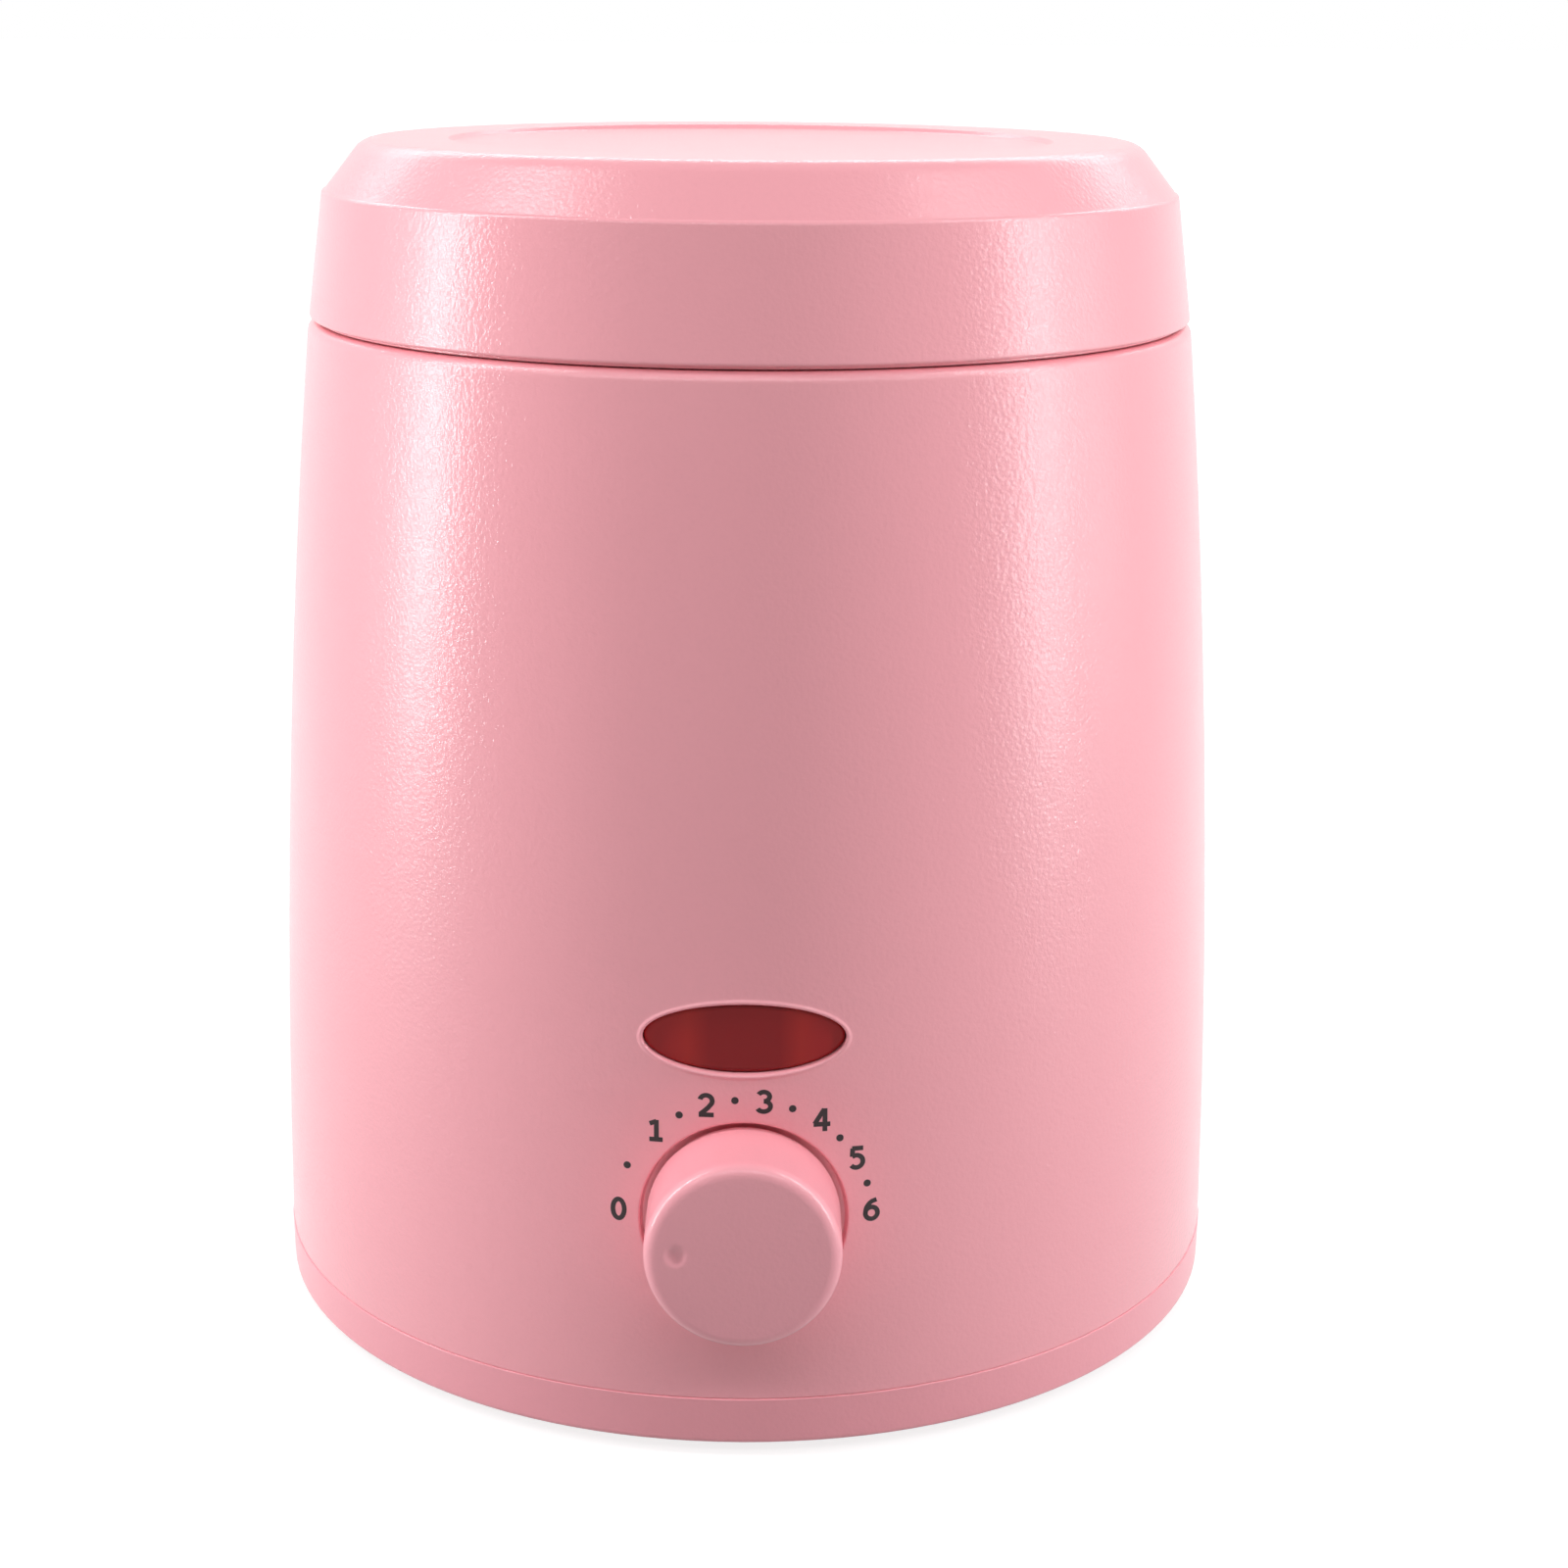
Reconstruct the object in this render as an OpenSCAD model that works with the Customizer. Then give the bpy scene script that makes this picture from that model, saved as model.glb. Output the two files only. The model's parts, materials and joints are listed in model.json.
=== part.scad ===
// Table-top wax warmer: a barrel-shaped housing with a lift-off lid, a heated
// well that takes a removable pot with a bail, a front dial that turns the
// thermostat, and an indicator window above it.
// Millimetres. Z is up, the front faces -Y, and the origin lies on the table
// under the middle of the body.

/* [Housing] */
// Diameter of the housing at its rim, just under the lid
rim_d = 103.2; // [88:0.1:124]
// Height of that rim above the table
rim_h = 118.1; // [98:0.1:142]
// Radius of the long arc that swells the wall towards the base
wall_arc_r = 1207; // [1000:1:1450]
// Thickness of the housing's and the lid's walls
wall = 2.4; // [2:0.1:2.9]
// Depth of the ledge that carries the heated well, below the rim
ledge_drop = 3; // [2.6:0.1:3.6]
// Thickness of that ledge
ledge_t = 2.5; // [2:0.1:3]
// Height of the equipment bay, from the table to the underside of the well
bay_h = 57; // [50:0.5:68]

/* [Base] */
// Height that the feet hold the base off the table
foot_h = 1.5; // [1.2:0.1:1.8]
// Diameter of a foot
foot_d = 12; // [10:0.1:14.4]
// Height of the base cover's visible rim
base_rim_h = 5.5; // [4.6:0.1:6.6]
// Thickness of the base cover's floor
base_floor = 2.5; // [2.1:0.1:3]
// Shank diameter of the four base screws
base_screw_d = 2.9; // [2.4:0.1:3.5]
// Number of vent slots in the base cover
vent_slots = 16; // [8:2:20]

/* [Lid] */
// Gap seen between the lid's foot and the housing's rim
lid_gap = 0.5; // [0.3:0.1:0.6]
// Height of the lid's side, from its foot to its shoulder
lid_side_h = 14.1; // [12:0.1:17]
// How far the side leans in over that height
lid_side_lean = 1.9; // [1.5:0.1:2.3]
// Height of the slope above the shoulder
lid_slope_h = 5.8; // [4.8:0.1:7]
// How far that slope runs in
lid_slope_run = 4.8; // [4:0.1:5.8]
// Width of the flat ring round the lid's recess
lid_ring_w = 10.3; // [8.6:0.1:12.4]
// Depth of that recess
lid_recess = 0.5; // [0.4:0.1:1.2]
// Thickness of the skirt that centres the lid
skirt_t = 1.6; // [1.3:0.1:1.9]

/* [Well and pot] */
// Width of the well's flange, from its bore to its edge
flange_w = 10; // [9.4:0.1:12]
// Thickness of the well's wall and flange
well_t = 1.2; // [1:0.1:1.5]
// Thickness of the well's floor
well_floor = 2; // [1.7:0.1:2.4]
// Thickness of the pot's wall
pot_t = 0.9; // [0.8:0.1:1.1]
// Diameter of the bead round the pot's rim
bead_d = 2.2; // [1.8:0.1:2.6]
// Diameter of the bail's wire
bail_d = 2.4; // [2:0.1:2.8]

/* [Dial] */
// Height of the dial's axis above the table
dial_h = 28; // [23.4:0.1:33]
// Diameter of the knob's front face
knob_d = 20.9; // [17.5:0.1:25]
// Distance that the knob stands out of its pocket's floor
knob_out = 11.4; // [9.5:0.1:13.6]
// Diameter of the thermostat's shaft
shaft_d = 6; // [5:0.1:7]

/* [Indicator] */
// Width of the window
window_w = 21.6; // [18:0.1:25.9]
// Height of the window
window_h = 7.7; // [6.4:0.1:9.2]
// Height of the window's middle above the dial's axis
window_up = 20.5; // [19.5:0.1:24.6]

/* [Cord entry] */
// Diameter of the bore that the mains cord passes through
cord_bore_d = 6.4; // [5.4:0.1:7.6]
// Height of that bore above the table
cord_h = 17.5; // [15:0.1:21]
// Distance that the gland's nose stands out of its flange
gland_nose = 8; // [6.6:0.1:9.6]

/* [Heater] */
// Length of the heater block
heater_l = 46; // [38.5:0.5:52]
// Width of the heater block
heater_w = 26; // [22:0.5:31]
// Thickness of the heater block
heater_t = 6; // [5:0.1:7]
// Diameter of the insulated wires
wire_d = 2.2; // [1.8:0.1:2.6]

/* [Hidden] */
$fn = 64;

// Clearances
thread_gap = 0.05;      // screw in its pilot hole
screw_gap = 0.3;        // screw in a clearance hole
shaft_gap = 0.08;        // shaft in a bush
skirt_gap = 0.5;        // lid's skirt inside the housing
flange_gap = 0.5;       // well's flange inside the lid's skirt
pot_gap = 0.6;          // pot inside the well
rim_float = 0.4;        // pot's rim over the well's flange
bail_gap = 0.1;         // bail in its ears
knob_gap = 0.7;         // knob inside its pocket
lens_gap = 0.12;        // lens inside its window
part_gap = 0.3;         // between neighbouring loose pieces
eps = 0.01;

// Heights
seam_z = foot_h + base_rim_h;
floor_z = foot_h + base_floor;
ledge_z = rim_h - ledge_drop;
gasket_t = 1;
flange_z = ledge_z + gasket_t;
flange_top = flange_z + well_t;
pot_floor_z = bay_h + well_floor;
lid_foot_z = rim_h + lid_gap;
shoulder_z = lid_foot_z + lid_side_h;
lid_top_z = shoulder_z + lid_slope_h;

// Radii
rim_r = rim_d / 2;
skirt_out_r = rim_r - wall - skirt_gap;
skirt_in_r = skirt_out_r - skirt_t;
flange_r = skirt_in_r - flange_gap;
well_r = flange_r - flange_w;
well_out_r = well_r + well_t;
ledge_bore_r = well_out_r + 1.5;
pot_r = well_r - pot_gap;
lid_foot_r = rim_r - 0.1;
shoulder_r = lid_foot_r - lid_side_lean;
lid_top_r = shoulder_r - lid_slope_run;
recess_r = lid_top_r - lid_ring_w;

// The wall's radius at a height: a long arc whose middle lies just under the table
arc_mid_z = -4.5;
function body_r(z) =
    rim_r + (pow(rim_h - arc_mid_z, 2) - pow(z - arc_mid_z, 2)) / (2 * wall_arc_r);

// Points up the wall between two heights, set in from its face
function wall_line(inset, z0, z1, n = 24) =
    [for (i = [0:n]) let (z = z0 + (z1 - z0) * i / n) [body_r(z) - inset, z]];

// Corners [x, y, radius] turned into an outline with round corners
function corner_arc(a, b, c, r, n = 6) =
    let (u = (a - b) / norm(a - b), v = (c - b) / norm(c - b),
         half = acos(max(-1, min(1, u * v))) / 2,
         reach = r / tan(half),
         mid = b + (u + v) / norm(u + v) * r / sin(half),
         p = b + u * reach - mid, q = b + v * reach - mid,
         full = atan2(p[0] * q[1] - p[1] * q[0], p * q))
    [for (i = [0:n]) let (t = full * i / n)
        mid + [p[0] * cos(t) - p[1] * sin(t), p[0] * sin(t) + p[1] * cos(t)]];
function rounded(corners) =
    let (n = len(corners))
    [for (i = [0:n - 1])
        let (a = corners[(i + n - 1) % n], b = corners[i], c = corners[(i + 1) % n])
        each b[2] > 0
            ? corner_arc([a[0], a[1]], [b[0], b[1]], [c[0], c[1]], b[2])
            : [[b[0], b[1]]]];
function ellipse(w, h, n = 48) =
    [for (i = [0:n - 1]) [w / 2 * cos(360 * i / n), h / 2 * sin(360 * i / n)]];

module turned(corners) { rotate_extrude() polygon(rounded(corners)); }
// A shape drawn in X and Y with its thickness along Y, its front at y
module facing_front(y, z = 0) { translate([0, y, z]) rotate([90, 0, 0]) children(); }
module ring(r_out, r_in, h) {
    difference() {
        cylinder(r = r_out, h = h);
        translate([0, 0, -1]) cylinder(r = r_in, h = h + 2);
    }
}
// A pan-head screw that points up, with its head's seat at z = 0
module screw(d, length, head_d, head_h) {
    translate([0, 0, -head_h]) cylinder(d = head_d, h = head_h);
    translate([0, 0, -eps]) cylinder(d = d, h = length + eps);
}

// Base screws, posts and feet
base_screw_r = body_r(seam_z) - wall - 6.8;
base_screw_angles = [45:90:315];
post_r = 4.2;
post_foot_z = seam_z + 1;
post_h = 26;
base_head_d = 6.4;
base_head_h = 2.2;
head_room = 0.4;
base_head_z = post_foot_z - 2.5;
base_screw_l = 14;
foot_r = body_r(seam_z) - 11.8;
foot_sunk = 1;
base_proud = 0.1;
lip_t = 1.6;
lip_h = 2.5;
lip_r = body_r(seam_z + lip_h) - wall - part_gap;

// Screws of the well
well_screw_r = flange_r - 3.6;
well_screw_angles = [90, 210, 330];
well_screw_d = 2.9;
well_screw_l = 12;
m3_head_d = 5.6;
m3_head_h = 2;
m3_d = 2.9;
well_boss_r = 3.4;
well_boss_h = 11;

// Dial pocket
pocket_r = knob_d / 2 + knob_gap;
pocket_floor_y = -(sqrt(pow(body_r(dial_h), 2) - pow(pocket_r, 2)) - 0.8);
dial_boss_t = 2.5;
dial_boss_in_y = pocket_floor_y + dial_boss_t;
dial_boss_r = pocket_r + 2;
knob_front_y = pocket_floor_y - knob_out;
knob_back_y = pocket_floor_y - 0.6;
shaft_r = shaft_d / 2;

// Window
window_z = dial_h + window_up;
bevel_w = 0.75;
bevel_depth = 0.5;
lens_recess = 0.9;
lens_flange_w = 2.6;
lens_flange_t = 1.2;

// Cord gland
gland_r = cord_bore_d / 2 + 1.8;
gland_flange_r = gland_r + 2.8;
gland_seat_y = sqrt(pow(body_r(cord_h), 2) - pow(gland_flange_r, 2)) - 0.4;
gland_pad_in_y = gland_seat_y - 3.2;
gland_pad_r = gland_flange_r + 1.2;
gland_flange_t = 2.2;
gland_nut_t = 2.5;
gland_tail_y = gland_pad_in_y - gland_nut_t - 0.2;

module housing() {
    color("#efa3b1")
    difference() {
        union() {
            housing_shell();
            for (a = base_screw_angles) rotate(a) housing_post();
            for (a = well_screw_angles) rotate(a)
                translate([well_screw_r, 0, ledge_z - well_boss_h])
                    cylinder(r = well_boss_r, h = well_boss_h - ledge_t / 2);
            // flat pad behind the dial's pocket
            facing_front(dial_boss_in_y, dial_h) cylinder(r = dial_boss_r, h = 2.3);
            for (x = [-lamp_screw_x, lamp_screw_x]) translate([x, 0, 0])
                facing_front(lamp_ear_y, window_z)
                    cylinder(r = lamp_boss_r, h = wall_y(x, wall / 2) + lamp_ear_y);
            // flat pad for the gland's nut
            facing_front(gland_seat_y - 0.5, cord_h)
                cylinder(r = gland_pad_r, h = gland_seat_y - 0.5 - gland_pad_in_y);
        }
        for (a = base_screw_angles) rotate(a)
            translate([base_screw_r, 0, post_foot_z - 1])
                cylinder(d = base_screw_d + 2 * thread_gap, h = base_screw_l + 1);
        for (a = well_screw_angles) rotate(a)
            translate([well_screw_r, 0, ledge_z - well_screw_l])
                cylinder(d = well_screw_d + 2 * thread_gap, h = well_screw_l + 1);
        facing_front(pocket_floor_y, dial_h) cylinder(r = pocket_r, h = 8);
        facing_front(dial_boss_in_y + 1, dial_h) cylinder(r = shaft_r + 1, h = 8);
        for (x = [-lamp_screw_x, lamp_screw_x]) translate([x, 0, 0])
            facing_front(lamp_ear_y + 1, window_z)
                cylinder(d = lamp_screw_d + 2 * thread_gap, h = lamp_screw_l);
        window_prism(window_w, window_h);
        window_bevel();
        facing_front(gland_seat_y + 8, cord_h) cylinder(r = gland_flange_r + 0.4, h = 8);
        facing_front(gland_seat_y + 1, cord_h) cylinder(r = gland_r + 0.1, h = 9);
    }
}

module housing_shell() {
    edge = 0.4;
    foot_edge = 0.15;
    ledge_under = ledge_z - ledge_t;
    rotate_extrude() polygon(concat(
        [[body_r(seam_z) - foot_edge, seam_z]],
        wall_line(0, seam_z + foot_edge, rim_h - edge),
        [[rim_r - edge, rim_h], [rim_r - wall + edge, rim_h]],
        wall_line(wall, rim_h - edge, ledge_z, 2),
        [[ledge_bore_r, ledge_z], [ledge_bore_r, ledge_under]],
        wall_line(wall, ledge_under, seam_z, 20)
    ));
}

// A round post for a base screw, with a web to the wall
module housing_post() {
    web_t = 2;
    web_h = post_h - 4;
    translate([base_screw_r, 0, post_foot_z]) cylinder(r = post_r, h = post_h);
    translate([base_screw_r, -web_t / 2, post_foot_z + lip_h])
        cube([body_r(post_foot_z + post_h) - wall / 2 - base_screw_r, web_t, web_h]);
}

module window_prism(w, h) {
    facing_front(-(body_r(window_z) - 12), window_z)
        linear_extrude(14) polygon(ellipse(w, h));
}

// The band of the wall's thickness, between two insets, near the window
module window_band(inset_out, inset_in) {
    half = window_h;
    rotate_extrude() polygon(concat(
        wall_line(inset_out, window_z - half, window_z + half, 8),
        wall_line(inset_in, window_z + half, window_z - half, 8)
    ));
}

module window_bevel() {
    intersection() {
        window_prism(window_w + 2 * bevel_w, window_h + 2 * bevel_w);
        window_band(-1, bevel_depth);
    }
}

module base_cover() {
    rim_out = body_r(seam_z) + base_proud;
    lip_in = lip_r - lip_t;
    column_r = post_r + 1;
    color("#e89cab")
    difference() {
        union() {
            turned([
                [0, foot_h, 0], [rim_out - 0.1, foot_h, 0.6], [rim_out, seam_z, 0.15],
                [lip_r, seam_z, 0], [lip_r, seam_z + lip_h, 0.4],
                [lip_in, seam_z + lip_h, 0.4], [lip_in, floor_z, 0], [0, floor_z, 0]
            ]);
            for (a = base_screw_angles) rotate(a)
                translate([base_screw_r, 0, floor_z - 1])
                    cylinder(r = column_r, h = post_foot_z - floor_z + 1);
            translate([-block_size[0] / 2, block_y, floor_z - 1])
                cube([block_size[0], block_size[1], plinth_h + 1]);
        }
        for (a = base_screw_angles) rotate(a) translate([base_screw_r, 0, 0]) {
            cylinder(d = base_screw_d + 2 * screw_gap, h = post_foot_z + 2);
            cylinder(d = base_head_d + 2 * head_room, h = base_head_z);
        }
        for (a = [0:90:270]) rotate(a) translate([foot_r, 0, 0])
            cylinder(d = foot_d + 2 * part_gap, h = foot_h + foot_sunk);
        for (i = [0:vent_slots - 1]) rotate((i + 0.5) * 360 / vent_slots) vent_slot();
        translate([0, block_mid_y, foot_h + 0.8])
            cylinder(d = m3_d + 2 * thread_gap, h = 12);
        // notch in the lip, where the pad behind the gland comes down
        translate([-gland_pad_r - part_gap, gland_pad_in_y - 2, seam_z])
            cube([2 * (gland_pad_r + part_gap), 12, lip_h + 1]);
    }
}

module vent_slot() {
    slot_w = 2.2;
    slot_in = 11;
    slot_out = 20;
    translate([0, 0, foot_h - 1]) linear_extrude(base_floor + 2) {
        translate([slot_in, -slot_w / 2]) square([slot_out - slot_in, slot_w]);
        translate([slot_in, 0]) circle(d = slot_w);
        translate([slot_out, 0]) circle(d = slot_w);
    }
}

module rubber_feet() {
    color("#4a4446")
    for (a = [0:90:270]) rotate(a) translate([foot_r, 0, 0])
        turned([[0, 0, 0], [foot_d / 2 - 0.3, 0, 0.5], [foot_d / 2, foot_h, 0],
                [foot_d / 2, foot_h + foot_sunk, 0], [0, foot_h + foot_sunk, 0]]);
}

module base_screws() {
    color("#b9bcc0")
    for (a = base_screw_angles) rotate(a) translate([base_screw_r, 0, base_head_z])
        screw(base_screw_d, post_foot_z - base_head_z + base_screw_l - 2,
              base_head_d, base_head_h);
}

module lid() {
    color("#f2a9b6")
    turned([
        [0, lid_top_z - lid_recess, 0],
        [recess_r, lid_top_z - lid_recess, 0.4], [recess_r + lid_recess, lid_top_z, 0.3],
        [lid_top_r, lid_top_z, 3], [shoulder_r, shoulder_z, 2],
        [lid_foot_r, lid_foot_z, 0.3], [skirt_out_r, lid_foot_z, 0],
        [skirt_out_r, ledge_z, 0.4], [skirt_in_r, ledge_z, 0.4],
        [skirt_in_r, lid_foot_z + wall, 0], [lid_foot_r - wall, lid_foot_z + wall, 0],
        [shoulder_r - wall, shoulder_z - 0.6, 1], [lid_top_r - 1, lid_top_z - wall, 1],
        [recess_r + wall + 1, lid_top_z - wall, 0.4],
        [recess_r + wall - 0.4, lid_top_z - lid_recess - wall, 0.4],
        [0, lid_top_z - lid_recess - wall, 0]
    ]);
}

// The heated well: a flanged cup with tapped posts under its floor
heater_size = [heater_l, heater_w, heater_t];
well_corner_r = 4;
heater_post_x = heater_size[0] / 2 + 1.5 + 3.5;
tapped_post_r = 3.5;
mica_t = 0.5;
clamp_t = 1.5;
heater_post_h = heater_size[2] + mica_t;
clamp_z = bay_h - heater_post_h - clamp_t;
bracket_gap_y = 17;
bracket_y = dial_boss_in_y + bracket_gap_y;
bracket_t = 1.5;
bracket_post_x = 7;
bracket_post_y = bracket_y + 11.5;
fuse_r = 2;
sleeve_r = 2.6;
fuse_z = bay_h - sleeve_r - 0.1;
fuse_y = heater_size[1] / 2 + 7.5;
fuse_x0 = -8;
fuse_l = 20;
strap_x = 4;
strap_t = 1;
fuse_post_y = fuse_y + 9;
fuse_post_r = 3;
fuse_post_h = 2 * sleeve_r + 0.4;

module heating_well() {
    color("#c9ccd0")
    difference() {
        union() {
            turned([
                [0, bay_h, 0], [well_out_r, bay_h, well_corner_r + well_t],
                [well_out_r, flange_z, 0.6], [flange_r, flange_z, 0],
                [flange_r, flange_top, 0.5], [well_r, flange_top, 0.9],
                [well_r, pot_floor_z, well_corner_r], [0, pot_floor_z, 0]
            ]);
            for (x = [-heater_post_x, heater_post_x]) under_post(x, 0, tapped_post_r, heater_post_h);
            for (x = [-bracket_post_x, bracket_post_x])
                under_post(x, bracket_post_y, tapped_post_r, heater_post_h);
            under_post(strap_x, fuse_post_y, fuse_post_r, fuse_post_h);
        }
        for (x = [-heater_post_x, heater_post_x]) tapped_hole(x, 0, heater_post_h);
        for (x = [-bracket_post_x, bracket_post_x]) tapped_hole(x, bracket_post_y, heater_post_h);
        tapped_hole(strap_x, fuse_post_y, fuse_post_h);
        for (a = well_screw_angles) rotate(a) translate([well_screw_r, 0, flange_z - 1])
            cylinder(d = well_screw_d + 2 * screw_gap, h = well_t + 2);
    }
}
module under_post(x, y, r, h) {
    translate([x, y, bay_h - h]) cylinder(r = r, h = h + well_floor / 2);
}
module tapped_hole(x, y, h) {
    translate([x, y, bay_h - h - 1]) cylinder(d = m3_d + 2 * thread_gap, h = h + 1);
}

module well_gasket() {
    color("#d9d6d2")
    difference() {
        translate([0, 0, ledge_z]) ring(flange_r, ledge_bore_r + 0.7, gasket_t);
        for (a = well_screw_angles) rotate(a) translate([well_screw_r, 0, ledge_z - 1])
            cylinder(d = well_screw_d + 2 * screw_gap, h = gasket_t + 2);
    }
}

module well_screws() {
    color("#b9bcc0")
    for (a = well_screw_angles) rotate(a) translate([well_screw_r, 0, flange_top])
        rotate([180, 0, 0])
            screw(well_screw_d, flange_top - ledge_z + well_screw_l - 2, m3_head_d, m3_head_h);
}

// Pot, its ears and its bail
pot_rim_z = flange_top + rim_float;
pot_rim_top = pot_rim_z + pot_t;
bead_r = bead_d / 2;
bead_mid_r = pot_r + 2.7;
ear_t = 1;
ear_in_x = pot_r - pot_t - 0.1;
ear_w = 8;
bail_r = bail_d / 2;
bail_arc_r = bead_mid_r - 0.1;
bail_bend_r = 2.2;
bail_droop_h = 2;
pivot_z = pot_rim_z + bead_d + bail_r + bail_droop_h;
bail_droop = asin((bail_droop_h - 0.1) / bail_arc_r);
bend_x = sqrt(pow(bail_arc_r - bail_bend_r, 2) - pow(bail_bend_r, 2));
bend_angle = atan2(bail_bend_r, bend_x);
pin_in_x = ear_in_x - 0.9;

module wax_pot() {
    color("#d4d6d9")
    rotate_extrude() {
        polygon(rounded([
            [0, pot_floor_z, 0], [pot_r, pot_floor_z, well_corner_r],
            [pot_r, pot_rim_z, 0.6], [bead_mid_r, pot_rim_z, 0],
            [bead_mid_r, pot_rim_top, 0], [pot_r - pot_t, pot_rim_top, 0.8],
            [pot_r - pot_t, pot_floor_z + pot_t, well_corner_r - pot_t],
            [0, pot_floor_z + pot_t, 0]
        ]));
        translate([bead_mid_r, pot_rim_z + bead_r]) circle(r = bead_r);
    }
}

module pot_ears() {
    color("#c4c7cb")
    for (side = [0, 180]) rotate(side) difference() {
        union() {
            translate([ear_in_x, -ear_w / 2, pot_rim_top])
                cube([ear_t, ear_w, pivot_z - pot_rim_top]);
            along_x(ear_in_x, 0, pivot_z, ear_w / 2, ear_t);
            translate([ear_in_x, -ear_w / 2, pot_rim_top])
                cube([ear_t + 0.7, ear_w, 0.8]);
        }
        along_x(ear_in_x - 1, 0, pivot_z, bail_r + bail_gap, ear_t + 2);
    }
}

// The bail lies back over the pot's bead, so it droops a little from its pins.
// Its bends are a hair thicker than the wire and run a little past their ends.
module pot_bail() {
    bend_more = 0.04;
    past = 2;
    color("#b6babf")
    translate([0, 0, pivot_z]) rotate([-bail_droop, 0, 0]) {
        rotate(bend_angle) rotate_extrude(angle = 180 - 2 * bend_angle)
            translate([bail_arc_r, 0]) circle(r = bail_r);
        for (side = [0, 1]) mirror([side, 0, 0]) {
            translate([bend_x, bail_bend_r, 0]) rotate(-90 - past)
                rotate_extrude(angle = 90 + bend_angle + 2 * past)
                    translate([bail_bend_r, 0]) circle(r = bail_r + bend_more);
            along_x(pin_in_x, 0, 0, bail_r, bend_x - pin_in_x);
        }
    }
}

// Heater block, pressed to the well by a strap and two screws
module ptc_heater() {
    color("#a9adb2")
    translate([-heater_size[0] / 2, -heater_size[1] / 2, bay_h - heater_size[2]])
        cube(heater_size);
}
module mica_sheet() {
    color("#c8b48a")
    translate([-heater_size[0] / 2, -heater_size[1] / 2, bay_h - heater_post_h])
        cube([heater_size[0], heater_size[1], mica_t]);
}
module heater_clamp() {
    clamp_w = 13;
    color("#b9bcc0")
    translate([0, 0, clamp_z]) linear_extrude(clamp_t) difference() {
        hull() for (x = [-heater_post_x, heater_post_x])
            translate([x, 0]) circle(d = clamp_w - 3, $fn = 32);
        for (x = [-heater_post_x, heater_post_x])
            translate([x, 0]) circle(d = m3_d + 2 * screw_gap);
    }
}
module heater_screws() {
    color("#9da1a6")
    for (x = [-heater_post_x, heater_post_x]) translate([x, 0, clamp_z])
        screw(m3_d, clamp_t + heater_post_h - 1, m3_head_d, m3_head_h);
}

// Thermal fuse in its sleeve, held under the well by a strap
module thermal_fuse() {
    color("#e7e2d6")
    along_x(fuse_x0, fuse_y, fuse_z, sleeve_r, fuse_l);
}
module fuse_strap() {
    strap_w = 8;
    strap_y0 = fuse_y - 4;
    color("#b9bcc0")
    difference() {
        translate([strap_x - strap_w / 2, strap_y0, bay_h - fuse_post_h - strap_t])
            cube([strap_w, fuse_post_y + 4 - strap_y0, strap_t]);
        translate([strap_x, fuse_post_y, bay_h - fuse_post_h - strap_t - 1])
            cylinder(d = m3_d + 2 * screw_gap, h = strap_t + 2);
    }
}
module fuse_screw() {
    color("#9da1a6")
    translate([strap_x, fuse_post_y, bay_h - fuse_post_h - strap_t])
        screw(m3_d, strap_t + fuse_post_h - 1, m3_head_d, m3_head_h);
}

// Thermostat: a frame with a bush, a stack of ceramic spacers that holds two
// contact leaves and a bimetal strip, and the shaft that the knob turns
bush_r = shaft_r + shaft_gap + 0.9;
bush_l = 7;
frame_t = 1.2;
frame_y = bracket_y + bracket_t;
stack_x = 14;
spacer_l = 5;
leaf_t = 0.4;
bimetal_t = 0.8;
stack_y = frame_y + frame_t;
front_leaf_y = stack_y + spacer_l;
rear_leaf_y = front_leaf_y + leaf_t + spacer_l;
bimetal_y = rear_leaf_y + leaf_t + spacer_l;
stack_end_y = bimetal_y + bimetal_t;
spacer_r = 5;
rivet_r = 2;
leaf_w = 6.3;
leaf_x0 = -6;
tab_x1 = 26;
contact_x = -3.5;
contact_l = 2.2;
nut_flats = 13;

// Cylinders along +X from x0, and along +Y from y0
module along_x(x0, y, z, r, h) {
    translate([x0, y, z]) rotate([0, 90, 0]) cylinder(r = r, h = h);
}
module along_y(x, y0, z, r, h) {
    translate([x, y0 + h, z]) rotate([90, 0, 0]) cylinder(r = r, h = h);
}

module thermostat_bracket() {
    bracket_w = 22;
    foot_z = dial_h - 9;
    top_z = bay_h - heater_post_h;
    color("#b0b4b9")
    difference() {
        union() {
            translate([-bracket_w / 2, bracket_y, foot_z])
                cube([bracket_w, bracket_t, top_z - foot_z]);
            translate([-bracket_w / 2, bracket_y, top_z - bracket_t])
                cube([bracket_w, bracket_post_y + 4.5 - bracket_y, bracket_t]);
        }
        along_y(0, bracket_y - 1, dial_h, bush_r + shaft_gap, bracket_t + 2);
        for (x = [-bracket_post_x, bracket_post_x])
            translate([x, bracket_post_y, top_z - bracket_t - 1])
                cylinder(d = m3_d + 2 * screw_gap, h = bracket_t + 2);
    }
}
module bracket_screws() {
    color("#9da1a6")
    for (x = [-bracket_post_x, bracket_post_x])
        translate([x, bracket_post_y, bay_h - heater_post_h - bracket_t])
            screw(m3_d, bracket_t + heater_post_h - 1, m3_head_d, m3_head_h);
}
module thermostat_frame() {
    color("#bfc2c6")
    difference() {
        union() {
            translate([-10, frame_y, dial_h - 6.5]) cube([stack_x + 16, frame_t, 13]);
            along_y(0, frame_y - bush_l, dial_h, bush_r, bush_l + 0.5);
        }
        along_y(0, frame_y - bush_l - 1, dial_h, shaft_r + shaft_gap, bush_l + frame_t + 2);
        along_y(stack_x, frame_y - 1, dial_h, rivet_r + thread_gap, frame_t + 2);
    }
}
washer_t = 0.8;
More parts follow.
